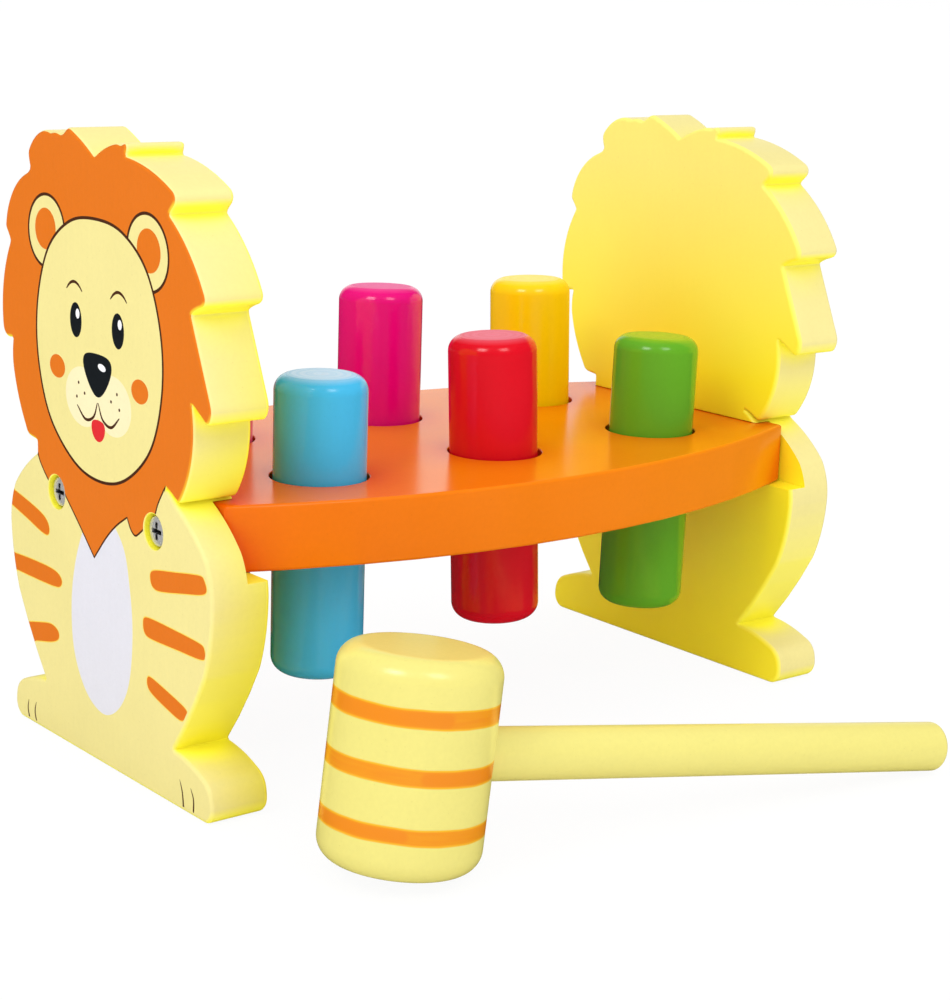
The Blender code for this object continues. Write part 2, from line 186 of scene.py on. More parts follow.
BACK_STRIPES = (
    (
        (60.0, 73.3), (44.5, 70.4), (36.0, 68.1), (33.0, 65.4), (33.8, 62.9), (38.0, 63.0),
        (47.0, 65.2), (60.0, 68.2),
    ),
    (
        (60.0, 52.2), (44.0, 52.9), (31.0, 52.8), (26.2, 51.2), (26.2, 49.0), (30.0, 47.8),
        (44.0, 47.4), (60.0, 47.4),
    ),
    (
        (52.0, 31.4), (42.0, 33.7), (33.4, 35.3), (28.8, 34.2), (28.6, 31.8), (33.0, 29.8),
        (42.0, 27.8), (50.0, 25.6),
    ),
)
FRONT_STRIPES = (
    (
        (-27.6, 65.9), (-40.0, 68.2), (-52.6, 70.2), (-54.7, 69.2), (-55.2, 65.8), (-43.0, 63.0),
        (-31.0, 60.8), (-27.2, 61.3), (-26.2, 63.4),
    ),
    (
        (-24.0, 51.6), (-40.0, 51.6), (-53.0, 51.1), (-54.5, 49.9), (-54.0, 47.0), (-40.0, 46.3),
        (-26.0, 45.9), (-22.6, 46.8), (-22.0, 49.6),
    ),
    (
        (-25.3, 34.6), (-36.0, 32.6), (-44.6, 30.5), (-45.4, 29.0), (-42.4, 26.4), (-35.0, 27.6),
        (-26.6, 29.8), (-24.0, 31.4), (-23.8, 33.4),
    ),
)
BELLY = (
    (1.5, 78.0), (10.0, 71.5), (16.4, 60.0), (19.8, 46.0), (18.8, 31.0), (12.0, 20.0), (2.0, 15.8),
    (-7.0, 19.6), (-13.4, 29.0), (-15.9, 44.0), (-14.6, 58.0), (-10.6, 70.0),
)
TOES = (
    ((48.9, 7.1), (49.6, 4.0), (48.6, 0.8)),
    ((44.0, 7.6), (45.0, 4.2), (44.0, 0.8)),
    ((-41.2, 9.0), (-42.6, 5.4), (-43.2, 0.8)),
    ((-47.0, 8.2), (-48.5, 5.2), (-48.4, 0.8)),
)
FACE = (
    (0.0, 159.6), (15.0, 157.4), (28.0, 148.4), (35.0, 132.6), (35.4, 116.0), (29.0, 99.6),
    (15.0, 88.6), (0.0, 85.4), (-15.0, 88.6), (-29.0, 99.6), (-35.4, 116.0), (-35.0, 132.6),
    (-28.0, 148.4), (-15.0, 157.4),
)
FACE_MIDDLE = 2.0
NOSE = ((-8.2, 120.6), (0.0, 122.0), (8.2, 120.6), (6.4, 114.4), (0.0, 109.2), (-6.4, 114.4))
TONGUE = ((-3.4, 102.6), (3.4, 102.6), (3.4, 98.6), (0.0, 96.6), (-3.4, 98.6))
SMILE = ((0.2, 108.0), (2.6, 103.6), (7.4, 102.2), (12.2, 105.6))
WHISKER_DOTS = ((7.6, 109.6), (11.0, 112.2), (12.2, 108.0))
PRINT_RIM = 0.3
HEM_HALF_LINE = 0.28
FACE_HALF_LINE = 0.45

# Spacing of outline points while corners are softened, on the panels' edge and in print.
DENSE = 0.2
PANEL_SPACING = 0.5
PRINT_SPACING = 0.6
# A side with less bulge than this is straight. An arc has a point at each step of its turn.
STRAIGHT = 0.03
ARC_STEP = math.radians(4.0)
CURVE_STEPS = 12
EDGE_STEPS = 4
ON_AXIS = 1e-6

# Tints laid over the lacquer. Painted shade and bounce light: yellow deepened in corners and on faces
# that look down, low on the panels' inner faces and in the right panel's groove, and low on the left
# panel's sides;
# the orange darker and redder beside the panels and pegs; and the screws' recesses darkened. Also the
# plank's orange towards its right end, and specks.
SHADED_YELLOW = (1.0, 0.93, 0.03, 1.0)
SHADE_AND_BOUNCE_YELLOW = (1.0, 0.86, 0.018, 1.0)
SHADED_SIDE = (0.98, 0.98, 0.3, 1.0)
WARM_ORANGE = (1.0, 1.5, 1.0, 1.0)
SHADED_ORANGE = (0.95, 0.55, 0.5, 1.0)
SPECK = (0.35, 0.25, 0.2, 1.0)
RECESS_SHADE = (0.04, 0.04, 0.045, 1.0)
WHITE = (1.0, 1.0, 1.0, 1.0)

CAMERA_PLACE = Vector((-410.07, -491.48, 225.07)) * MM
CAMERA_AZIMUTH = math.radians(38.899)
CAMERA_DIP = math.radians(14.181)
CAMERA_ROLL = math.radians(1.595)
CAMERA_LENS = 77.664
CAMERA_SHIFT = (-0.00485, 0.02993)
LAMP_TARGET = Vector((-0.02, 0.02, 0.09))
FLOOR_HALF = 30.0
# How bright the floor's paper is to the camera.
PAPER_SHOWN = 0.97


# Outlines


def arc_points(start, end, bulge):
    """Points of an arc from start up to, not with, its end.

    A positive bulge stands out to the right of the way.
    """
    if abs(bulge) < STRAIGHT:
        return [start]
    length = np.linalg.norm(end - start)
    along = (end - start) / length
    outward = np.array((along[1], -along[0]))
    half_angle = 2 * math.atan(2 * abs(bulge) / length)
    radius = length / (2 * math.sin(half_angle))
    count = max(3, math.ceil(2 * half_angle / ARC_STEP))
    points = []
    for number in range(count):
        angle = half_angle * (2 * number / count - 1)
        out = math.copysign(radius * (math.cos(angle) - math.cos(half_angle)), bulge)
        points.append((start + end) / 2 + along * radius * math.sin(angle) + outward * out)
    return points


def closed_outline(corners):
    """Points all round an outline of (point, bulge) corners."""
    points = []
    for (start, bulge), (end, _) in zip(corners, corners[1:] + corners[:1]):
        points += arc_points(np.array(start, float), np.array(end, float), bulge)
    return np.array(points)


def resampled(points, spacing, closed=True):
    """The polyline's points at an even spacing along it."""
    path = np.vstack([points, points[:1]]) if closed else np.asarray(points, float)
    lengths = np.concatenate([[0.0], np.cumsum(np.linalg.norm(np.diff(path, axis=0), axis=1))])
    count = max(4, round(lengths[-1] / spacing))
    marks = np.linspace(0.0, lengths[-1], count + 1)
    if closed:
        marks = marks[:-1]
    return np.column_stack([np.interp(marks, lengths, path[:, axis]) for axis in range(2)])


def softened(points, spread, spacing=DENSE):
    """The closed outline with its corners rounded by a bell curve of this spread."""
    reach = math.ceil(3 * spread / spacing)
    steps = np.arange(-reach, reach + 1)
    weights = np.exp(-0.5 * (steps * spacing / spread) ** 2)
    weights /= weights.sum()
    return sum(weight * np.roll(points, step, axis=0) for weight, step in zip(weights, steps))


def smooth_shape(points, spread=0.0):
    """A closed print shape that bends evenly through its points.

    Sharp turns are rounded by the spread.
    """
    points = np.array(points, float)
    shape = resampled(curve_through(np.vstack([points[-1], points, points[:2]])), DENSE)
    if spread:
        shape = softened(shape, spread)
    return resampled(shape, PRINT_SPACING)


def smooth_path(points):
    """An open path that bends evenly through its points."""
    points = np.array(points, float)
    padded = np.vstack([2 * points[0] - points[1], points, 2 * points[-1] - points[-2]])
    path = np.vstack([curve_through(padded), points[-1]])
    return resampled(path, PRINT_SPACING, closed=False)


def curve_through(padded):
    """Points of an even curve from the second point to the last but one, without its end."""
    path = []
    for first, second, third, fourth in zip(padded, padded[1:], padded[2:], padded[3:]):
        for t in np.linspace(0.0, 1.0, CURVE_STEPS, endpoint=False):
            a = 2 * second + (third - first) * t
            b = (2 * first - 5 * second + 4 * third - fourth) * t**2
            c = (3 * second - first - 3 * third + fourth) * t**3
            path.append((a + b + c) / 2)
    return np.array(path)


def bow(middle, half_width, rise, steps=7):
    """Points of a shallow arc, level at its ends' height, with its middle raised."""
    spots = np.linspace(-1.0, 1.0, steps)
    return [(middle[0] + half_width * spot, middle[1] + rise * (1 - spot**2)) for spot in spots]


def sideways(points, closed=True):
    """Unit vectors to the right of the way at each point."""
    if closed:
        along = np.roll(points, -1, axis=0) - np.roll(points, 1, axis=0)
    else:
        along = np.gradient(points, axis=0)
    along /= np.linalg.norm(along, axis=1)[:, None]
    return np.column_stack([along[:, 1], -along[:, 0]])


def stroke(points, width, taper=0.35, peak=0.5):
    """The outline of a brush stroke along an open path.

    It is widest at its peak share of the path and thinner at its ends.
    """
    path = smooth_path(points)
    share = np.linspace(0.0, 1.0, len(path))
    share = np.where(share < peak, share / peak, 1 + (share - peak) / max(1 - peak, 0.01)) / 2
    half = width / 2 * (taper + (1 - taper) * np.sin(math.pi * share) ** 0.6)
    side = sideways(path, closed=False) * half[:, None]
    return np.vstack([path + side, (path - side)[::-1]])


def grown(points, distance):
    """A closed print shape with its outline moved outwards."""
    y, z = points[:, 0], points[:, 1]
    area = np.sum(y * np.roll(z, -1) - z * np.roll(y, -1))
    return points + sideways(points) * distance * math.copysign(1.0, area)


def oval(middle, half_width, half_height, tilt=0.0, steps=40):
    """An oval's outline, tilted by some degrees."""
    turns = np.linspace(0.0, math.tau, steps, endpoint=False)
    y = half_width * np.cos(turns)
    z = half_height * np.sin(turns)
    cos, sin = math.cos(math.radians(tilt)), math.sin(math.radians(tilt))
    return np.column_stack([middle[0] + y * cos - z * sin, middle[1] + y * sin + z * cos])


def inside(polygon, points):
    """Which points lie inside the polygon."""
    y, z = points[:, 0], points[:, 1]
    found = np.zeros(len(points), bool)
    for (y0, z0), (y1, z1) in zip(polygon, np.roll(polygon, -1, axis=0)):
        if z0 == z1:
            continue
        crosses = (z0 > z) != (z1 > z)
        found ^= crosses & (y < (y1 - y0) * (z - z0) / (z1 - z0) + y0)
    return found


def turning(points):
    """How far a closed outline turns at each point: below zero where it is hollow."""
    before = points - np.roll(points, 1, axis=0)
    after = np.roll(points, -1, axis=0) - points
    cross = before[:, 0] * after[:, 1] - before[:, 1] * after[:, 0]
    return np.arctan2(cross, np.sum(before * after, axis=1))


def panel_outline():
    """The panel's outline, evenly spaced: round outer corners and crisper hollow ones."""
    front_body = [((-y, z), bulge) for y, z, bulge in BODY_SIDE]
    back_points = [(y, z) for y, z, _ in reversed(BODY_SIDE)]
    back_bulges = [bulge for _, _, bulge in reversed(BODY_SIDE[:-1])] + [0.0]
    mane_front = [((y, z), bulge) for y, z, bulge in FRONT_MANE]
    mane_back = [((y, z), bulge) for y, z, bulge in BACK_MANE]
    corners = [*mane_front, *front_body, *zip(back_points, back_bulges), *mane_back]
    dense = resampled(closed_outline(corners), DENSE)
    soft = softened(dense, 0.75)
    crisp = softened(dense, 0.25)
    hollow = softened(np.clip(-15.0 * turning(soft), 0.0, 1.0)[:, None], 0.4)
    return resampled(soft * (1 - hollow) + crisp * hollow, PANEL_SPACING)


# Meshes


def linked(name, data):
    """A new object of the scene with this data."""
    obj = bpy.data.objects.new(name, data)
    bpy.context.scene.collection.objects.link(obj)
    return obj


def new_object(name, verts, faces, material=None):
    """An object from points in millimetres, with its faces turned outwards."""
    mesh = bpy.data.meshes.new(name)
    mesh.from_pydata([tuple(float(value) * MM for value in vert) for vert in verts], [], faces)
    bm = bmesh.new()
    bm.from_mesh(mesh)
    bmesh.ops.remove_doubles(bm, verts=bm.verts, dist=0.001 * MM)
    bmesh.ops.recalc_face_normals(bm, faces=bm.faces)
    bm.to_mesh(mesh)
    bm.free()
    if material:
        mesh.materials.append(material)
    return linked(name, mesh)


def bridged(rows):
    """Faces between closed rows of equally many corners, each row joined to the next."""
    faces = []
    for lower, upper in zip(rows, rows[1:]):
        for step, corner in enumerate(lower):
            after = (step + 1) % len(lower)
            faces.append(tuple(dict.fromkeys((corner, lower[after], upper[after], upper[step]))))
    return faces


def add_row(verts, points):
    """Adds the points and returns their numbers."""
    first = len(verts)
    verts += points
    return list(range(first, len(verts)))


def turned(name, profile, steps, material=None, matrix=None):
    """A solid turned about Z from (radius, height) points. Its ends close on the axis."""
    turns = [math.tau * step / steps for step in range(steps)]
    verts, rows = [], []
    for radius, height in profile:
        if radius < ON_AXIS:
            rows.append(add_row(verts, [(0.0, 0.0, height)]) * steps)
        else:
            circle = [(radius * math.cos(turn), radius * math.sin(turn), height) for turn in turns]
            rows.append(add_row(verts, circle))
    obj = new_object(name, verts, bridged(rows), material)
    if matrix:
        obj.data.transform(matrix)
    return obj


def prism(name, verts):
    """A closed solid from the corners of one end, followed by those of the other."""
    count = len(verts) // 2
    rows = [range(count), range(count, 2 * count)]
    return new_object(name, verts, [tuple(row) for row in rows] + bridged(rows))


def rounded_edge(outline, radius, reach, thickness):
    """Rings (outline, depth) down a board's rounded edge, from its front to its back.

    The rounding takes the radius of the depth, and of the outline what reach says at each point.
    """
    outwards = sideways(outline)
    rings = []
    for step in range(EDGE_STEPS + 1):
        angle = math.pi / 2 * step / EDGE_STEPS
        inset = reach * (1 - math.sin(angle))
        rings.append((outline - outwards * inset[:, None], radius * (1 - math.cos(angle))))
    return rings + [(ring, thickness - depth) for ring, depth in reversed(rings)]


def board(rings, front, back):
    """Points (across, up, depth) and faces of a board from its edge and its filled faces."""
    count = len(rings[0][0])
    verts = [(*point, 0.0) for point in front[0]]
    rows = [range(count)]
    rows += [add_row(verts, [(*point, depth) for point in ring]) for ring, depth in rings[1:]]
    start = len(verts) - count
    verts += [(*point, rings[-1][1]) for point in back[0][count:]]
    back_faces = [tuple(start + corner for corner in face) for face in back[1]]
    return verts, front[1] + bridged(rows) + back_faces


def quarter(radius, middle, start, end, steps=8):
    """Points of an arc round (radius, height) middle, with its angles from the radius' direction."""
    turns = np.radians(np.linspace(start, end, steps + 1))
    return [(middle[0] + radius * math.cos(turn), middle[1] + radius * math.sin(turn)) for turn in turns]


def in_metres(matrix):
    """The matrix with its place turned from millimetres into metres."""
    scaled_matrix = matrix.copy()
    scaled_matrix.translation = matrix.translation * MM
    return scaled_matrix


def cut(obj, cutters):
    """Takes the cutters out of the object for good and removes them."""
    for cutter in cutters:
        boolean = obj.modifiers.new(cutter.name, "BOOLEAN")
        boolean.operation = "DIFFERENCE"
        boolean.solver = "EXACT"
        boolean.object = cutter
    bake(obj)
    for cutter in cutters:
        bpy.data.objects.remove(cutter, do_unlink=True)


def bake(obj):
    """Turns the evaluated object into its plain mesh and drops its modifiers."""
    bpy.context.view_layer.update()
    graph = bpy.context.evaluated_depsgraph_get()
    mesh = bpy.data.meshes.new_from_object(obj.evaluated_get(graph), depsgraph=graph)
    old = obj.data
    obj.modifiers.clear()
    obj.data = mesh
    bpy.data.meshes.remove(old)


def read(items, name, width=1, kind=np.float32):
    """One property of all these items of a mesh as an array."""
    values = np.empty(len(items) * width, kind)
    items.foreach_get(name, values)
    return values.reshape(-1, width) if width > 1 else values


def smooth_shading(obj, flat_axis=None, angle=35.0):
    """Smooth normals that keep sharp edges. Faces square to the flat axis stay truly flat."""
    obj.data.shade_smooth()
    obj.data.set_sharp_from_angle(angle=math.radians(angle))
    weighted = obj.modifiers.new("weighted", "WEIGHTED_NORMAL")
    weighted.keep_sharp = True
    bake(obj)
    if flat_axis is None:
        return
    mesh = obj.data
    corner_vert = read(mesh.loops, "vertex_index", kind=np.int32)
    face_normal = read(mesh.polygons, "normal", 3)
    counts = read(mesh.polygons, "loop_total", kind=np.int32)
    corner_face = np.repeat(np.arange(len(mesh.polygons)), counts)
    normals = read(mesh.corner_normals, "vector", 3)
    for sign in (-1.0, 1.0):
        flat = np.zeros(3)
        flat[flat_axis] = sign
        is_flat = face_normal @ flat > 0.99999
        touched = np.zeros(len(mesh.vertices), bool)
        touched[corner_vert[is_flat[corner_face]]] = True
        close = face_normal[corner_face] @ flat > math.cos(math.radians(angle))
        normals[touched[corner_vert] & close] = flat
    mesh.normals_split_custom_set([tuple(float(value) for value in normal) for normal in normals])


def flat_face(border, lines=(), holes=()):
    """Points and triangles that fill a border, with the border's points first and in order.

    The lines, each with whether it is closed, become edges among the triangles.
    """
    points = [Vector(point) for point in border]
    edges = []
    for line, closed in lines:
        first = len(points)
        points += [Vector(point) for point in line]
        count = len(line)
        steps = range(count if closed else count - 1)
        edges += [(first + step, first + (step + 1) % count) for step in steps]
    result = delaunay_2d_cdt(points, edges, [list(range(len(border)))], 1, 1e-4)
    found, _, triangles, sources = result[:4]
    verts = [tuple(point) for point in border]
    order = []
    for place, source in zip(found, sources):
        own = [number for number in source if number < len(border)]
        order.append(own[0] if own else len(verts))
        if not own:
            verts.append((place.x, place.y))
    faces = [tuple(order[corner] for corner in triangle) for triangle in triangles]
    verts = np.array(verts, float)
    for hole in holes:
        middles = np.array([verts[list(face)].mean(axis=0) for face in faces])
        faces = [face for face, gone in zip(faces, inside(hole, middles)) if not gone]
    return verts, faces


# Materials


def wire(tree, made, inputs):
    """Sets a node's inputs by name or number, or links them to what comes from other nodes."""
    for name, value in inputs.items():
        if isinstance(value, bpy.types.NodeSocket):
            tree.links.new(value, made.inputs[name])
        else:
            made.inputs[name].default_value = value


def node(tree, kind, inputs=None, **options):
    """A new node with its inputs and options."""
    made = tree.nodes.new(kind)
    for name, value in options.items():
        setattr(made, name, value)
    wire(tree, made, inputs or {})
    return made


def maths(tree, operation, *values):
    """The result of one operation on numbers or other nodes' results."""
    return node(tree, "ShaderNodeMath", dict(enumerate(values)), operation=operation).outputs[0]


def product(tree, first, second):
    """One value times another."""
    return maths(tree, "MULTIPLY", first, second)


def scaled(tree, value, factor, offset):
    """The value times a factor, plus an offset."""
    return maths(tree, "MULTIPLY_ADD", value, factor, offset)


def ramp(tree, value, start, end, first=0.0, last=1.0):
    """From the first result at the start to the last one at the end, and level past both."""
    inputs = {"Value": value, "From Min": start, "From Max": end, "To Min": first, "To Max": last}
    return node(tree, "ShaderNodeMapRange", inputs).outputs[0]


def noise(tree, place, scale, detail):
    """Soft noise from 0 to 1 in space."""
    inputs = {"Vector": place, "Scale": scale, "Detail": detail}
    return node(tree, "ShaderNodeTexNoise", inputs).outputs["Fac"]


def own_place(tree):
    """The shaded point's place in the object's own space."""
    return node(tree, "ShaderNodeTexCoord").outputs["Object"]


def part(tree, vector, axis):
    """One part of a vector."""
    return node(tree, "ShaderNodeSeparateXYZ", {"Vector": vector}).outputs[axis]


def opaque(colour):
    """A colour of three parts with full cover as its fourth."""
    return (*colour, 1.0)


def colour_mix(tree, blend, factor, first, second):
    """The second colour laid over the first in this way and share."""
    inputs = {0: factor, 6: first, 7: second}
    return node(tree, "ShaderNodeMix", inputs, data_type="RGBA", blend_type=blend).outputs[2]


def new_material(name):
    """A material with its node tree and its shader."""
    material = bpy.data.materials.new(name)
    material.use_nodes = True
    return material, material.node_tree, material.node_tree.nodes["Principled BSDF"]


def add_bump(tree, shader, height, strength, distance):
    """Lays a relief over the shader's surface, on top of one that is there."""
    inputs = {"Height": height, "Strength": strength, "Distance": distance}
    below = shader.inputs["Normal"].links
    if below:
        inputs["Normal"] = below[0].from_socket
    wire(tree, shader, {"Normal": node(tree, "ShaderNodeBump", inputs).outputs["Normal"]})


def lacquer(name, colour, roughness, grain=(60.0, 60.0, 60.0), depth=1.0, attribute=None, specular=0.5):
    """Satin paint on wood: a slightly uneven coat over faint grain, with a few specks."""
    material, tree, shader = new_material(name)
    place = own_place(tree)
    cloud = noise(tree, place, 45.0, 3.0)
    ripple = noise(tree, place, 750.0, 1.0)
    stretched = node(tree, "ShaderNodeMapping", {"Vector": place, "Scale": grain}).outputs["Vector"]
    fibre = noise(tree, stretched, 10.0, 4.0)
    speck = maths(tree, "GREATER_THAN", noise(tree, place, 1900.0, 0.0), 0.83)

    base = opaque(colour)
    if attribute:
        base = node(tree, "ShaderNodeVertexColor", layer_name=attribute).outputs["Color"]
    shade = scaled(tree, cloud, 0.06, scaled(tree, ripple, 0.05, 0.945))
    shade = scaled(tree, fibre, 0.03, maths(tree, "SUBTRACT", shade, 0.015))
    tone = node(tree, "ShaderNodeCombineColor", {0: shade, 1: shade, 2: shade}).outputs[0]
    varied = colour_mix(tree, "MULTIPLY", 1.0, base, tone)
    flecked = colour_mix(tree, "MULTIPLY", product(tree, speck, 0.12), varied, SPECK)
    gloss = scaled(tree, cloud, 0.08, roughness - 0.04)
    wire(tree, shader, {"Base Color": flecked, "Roughness": gloss, "Specular IOR Level": specular})
    height = scaled(tree, fibre, 0.5, product(tree, ripple, 0.5))
    add_bump(tree, shader, height, 0.12 * depth, 0.25 * MM)
    material.diffuse_color = opaque(colour)
    return material


def grained(name, colour, scale, detail, low, high):
    """A material with its tree, shader and the fine grain that varies its colour between two shares."""
    material, tree, shader = new_material(name)
    grain = noise(tree, own_place(tree), scale, detail)
    shade = ramp(tree, grain, 0.0, 1.0, low, high)
    wire(tree, shader, {"Base Color": colour_mix(tree, "MULTIPLY", 1.0, opaque(colour), shade)})
    return material, tree, shader, grain


def tinted(material, blend, factor, colour):
    """Lays another tint over the material's colour."""
    tree = material.node_tree
    base = tree.nodes["Principled BSDF"].inputs["Base Color"]
    tree.links.new(colour_mix(tree, blend, factor, base.links[0].from_socket, colour), base)


def nooks(tree, distance, local):
    """From 0 on open surfaces to 1 deep in corners, where less light reaches: a mask for painted shade.
    """
    inputs = {"Distance": distance}
    openness = node(tree, "ShaderNodeAmbientOcclusion", inputs, samples=8, only_local=local)
    return ramp(tree, openness.outputs["AO"], 0.93, 0.5)


def inner_depth(tree):
    """Two shares that are 0 high up or outside, and 1 low down and inwards.

    Both mask painted shade: the first on both panels' inner faces, the second on the left panel's sides.
    """
    place = own_place(tree)
    x = part(tree, place, "X")
    away = maths(tree, "ABSOLUTE", x)
    inner = (OUTER_X - PANEL_THICKNESS) * MM
    low = ramp(tree, part(tree, place, "Z"), 168.0 * MM, 100.0 * MM)
    face = ramp(tree, away, inner + 1.0 * MM, inner)
    left = product(tree, maths(tree, "LESS_THAN", x, 0.0), low)
    return product(tree, face, low), product(tree, ramp(tree, away, OUTER_X * MM, inner), left)


def undersides(tree):
    """From 0 on upright surfaces to 1 on those that face down, which get less light: a mask for painted
    shade.
    """
    normal = node(tree, "ShaderNodeNewGeometry").outputs["Normal"]
    return ramp(tree, part(tree, normal, "Z"), -0.03, -0.75)


# Settings


def number_setting(name, description, default, **options):
    """A number from zero up."""
    return FloatProperty(name=name, description=description, default=default, min=0.0, **options)


def length_setting(name, description, default):
    """A length, with its default in millimetres."""
    return number_setting(name, description, default * MM, unit="LENGTH", subtype="DISTANCE")


def colour_setting(name, description, default):
    """A colour."""
    options = {"size": 3, "subtype": "COLOR", "min": 0.0, "max": 1.0}
    return FloatVectorProperty(name=name, description=description, default=default, **options)


class BenchSizes(bpy.types.PropertyGroup):
    """Sizes of the pieces' edges and bands"""

    panel_round: length_setting("Panel edge", "Round of the end panels' edges", 1.25)
    plank_round: length_setting("Plank edge", "Round of the plank's edges", 1.0)
    hole_round: length_setting("Hole mouth", "Round of the peg holes' mouths", 0.4)
    band_width: length_setting("Band width", "Width of the mallet's orange bands", 4.9)


class BenchColours(bpy.types.PropertyGroup):
    """Colours of lacquer, print and metal"""

    yellow: colour_setting("Light yellow", "The panels' edges and outer faces", (0.765, 0.672, 0.262))
    # Painted bounce light: the inner faces' yellow is brighter and deeper than the outer one, standing in
    # for light thrown on them by the orange plank and the other panel.
    inner_bounce_yellow: colour_setting("Inner yellow", "The panels' inner faces", (0.88, 0.775, 0.17))
    mallet_yellow: colour_setting("Mallet yellow", "The mallet", (0.725, 0.65, 0.18))
    orange: colour_setting("Orange", "The plank", (0.765, 0.15, 0.0))
    print_orange: colour_setting("Print orange", "Mane and stripes", (0.69, 0.155, 0.0))
    print_rim: colour_setting("Print rim", "Thin rim round the stripes", (0.83, 0.60, 0.07))
    band_orange: colour_setting("Band orange", "Bands on the mallet's head", (0.76, 0.27, 0.0))
    band_deep: colour_setting("Deep band orange", "Thicker paint of the bands", (0.745, 0.22, 0.0))
    band_rim: colour_setting("Band rim", "Thin edge of the bands' paint", (0.80, 0.42, 0.01))
    lilac: colour_setting("Lilac white", "Belly", (0.67, 0.665, 0.725))
    brown: colour_setting("Brown", "Thin print lines", (0.07, 0.02, 0.006))
    dark: colour_setting("Near black", "Nose and eyes", (0.008, 0.011, 0.014))
    cream: colour_setting("Cream", "Muzzle", (0.82, 0.74, 0.44))
    white: colour_setting("White", "Glints in the eyes", (0.82, 0.82, 0.84))
    tongue: colour_setting("Red", "Small red print accent", (0.68, 0.015, 0.02))
    blue: colour_setting("Blue", "Blue peg", (0.052, 0.42, 0.70))
    red: colour_setting("Red peg", "Red peg", (0.63, 0.0, 0.01))
    green: colour_setting("Green", "Green peg", (0.108, 0.352, 0.014))
    pink: colour_setting("Pink", "Pink peg", (0.75, 0.095, 0.205))
    magenta: colour_setting("Magenta", "Magenta peg", (0.715, 0.0, 0.18))
    yellow_peg: colour_setting("Warm yellow", "Yellow peg", (0.89, 0.585, 0.0))
    steel: colour_setting("Steel", "Screws", (0.62, 0.62, 0.64))
    rubber: colour_setting("Rubber", "Friction rings", (0.03, 0.025, 0.02))


class BenchStudio(bpy.types.PropertyGroup):
    """Lamps, surroundings and floor"""

    ambient: number_setting("Ambient", "Light from all round", 0.785)
    overhead: number_setting("Overhead", "How much brighter the light is from above", 0.8)
    left_power: number_setting("Left lamp", "Power of the left soft lamp in watts", 2.5)
    right_power: number_setting("Right lamp", "Power of the right soft lamp in watts", 1.65)
    lamp_size: length_setting("Lamp size", "Side of each soft lamp", 360.0)
    lamp_distance: length_setting("Lamp distance", "From the bench to each lamp", 1100.0)
    front: number_setting("Front", "Brightness of the studio's front in gloss", 0.03, max=1.0)
    floor: number_setting("Floor", "Brightness of the floor's paper", 0.98, max=1.0)
    shadow: number_setting("Shadow", "How much of the shadow the floor shows", 0.06, max=1.0)


# Panels


def print_layers(colours):
    """Shapes of the print in the order in which they are laid on, each with its colour.

    A shape is (outline, colour), or for one that runs off the edge (line, colour, outside points).
    """
    orange, brown = colours.print_orange, colours.brown
    layers = [(smooth_shape(BELLY), colours.lilac)]
    for points in BACK_STRIPES:
        path = smooth_path(points)
        rim = path + sideways(path, closed=False) * PRINT_RIM
        layers += [(rim, colours.print_rim, ()), (path, orange, ())]
    for points in FRONT_STRIPES:
        shape = smooth_shape(points, spread=0.8)
        layers += [(grown(shape, PRINT_RIM), colours.print_rim), (shape, orange)]
    layers += [(stroke(points, 0.75, taper=0.2, peak=0.9), brown) for points in TOES]
    hem = hem_line()
    line = sideways(hem, closed=False) * HEM_HALF_LINE
    layers += [(hem - line, brown, ABOVE_HEM), (hem + line, orange, ABOVE_HEM)]
    return layers + face_layers(colours)


def hem_line():
    """The mane's lower edge from the back notch to the front one, in pointed locks."""
    runs = [smooth_path(lock)[:-1] for lock in HEM_LOCKS]
    return np.vstack([*runs, HEM_LOCKS[-1][-1]])


def outlined(shape, line, fill):
    """Two layers: a shape in its line's colour, and its inside."""
    return [(grown(shape, FACE_HALF_LINE), line), (grown(shape, -FACE_HALF_LINE), fill)]


def face_layers(colours):
    """A plain animal face: round ears, muzzle, eyes, cheeks, smile, brows, whisker dots and nose."""

    def at(y, z, side=1):
        return FACE_MIDDLE + side * y, z

    layers = []
    for side in (-1, 1):
        ear = oval(at(28.6, 153.4, side), 11.0, 10.4, side * -20.0, 56)
        layers += outlined(ear, colours.brown, colours.yellow)
        layers.append((oval(at(29.2, 154.0, side), 6.3, 5.9, side * -20.0), colours.print_orange))
    layers += outlined(smooth_shape([at(*point) for point in FACE]), colours.brown, colours.yellow)
    layers += [(oval(at(8.6, 108.4, side), 10.2, 8.6, 0.0, 56), colours.cream) for side in (-1, 1)]
    for side in (-1, 1):
        eye = at(12.0, 130.0, side)
        layers += [
            (oval(eye, 3.4, 5.0, 0.0, 44), colours.dark),
            (oval((eye[0] - 1.1, eye[1] + 1.9), 1.1, 1.4), colours.white),
            (oval(at(23.6, 115.0, side), 4.6, 3.4), colours.print_orange),
            (stroke([at(*point, side) for point in SMILE], 0.9), colours.brown),
            (stroke(bow(at(12.6, 138.4, side), 4.6, 2.4), 0.9), colours.brown),
        ]
        layers += [(oval(at(*dot, side), 0.5, 0.5, 0.0, 12), colours.brown) for dot in WHISKER_DOTS]
    layers.append((smooth_shape([at(*point) for point in TONGUE], spread=1.0), colours.tongue))
    layers.append((smooth_shape([at(*point) for point in NOSE], spread=1.6), colours.dark))
    layers.append((oval(at(-2.6, 118.4), 2.2, 1.0, 8.0), colours.white))
    return layers


def on_border(line, border):
    """The line with its two ends moved to the nearest points of the border, and cut there."""
    kept = line[inside(border, line)]
    ends = [border[np.argmin(np.linalg.norm(border - end, axis=1))] for end in (kept[0], kept[-1])]
    return np.vstack([ends[0], kept[1:-1], ends[1]])


def kept_inside(shape, border):
    """The closed shape with each point past the border moved back onto it."""
    shape = shape.copy()
    outside = ~inside(border, shape)
    gaps = np.linalg.norm(shape[outside][:, None] - border[None], axis=2)
    shape[outside] = border[gaps.argmin(axis=1)]
    return shape


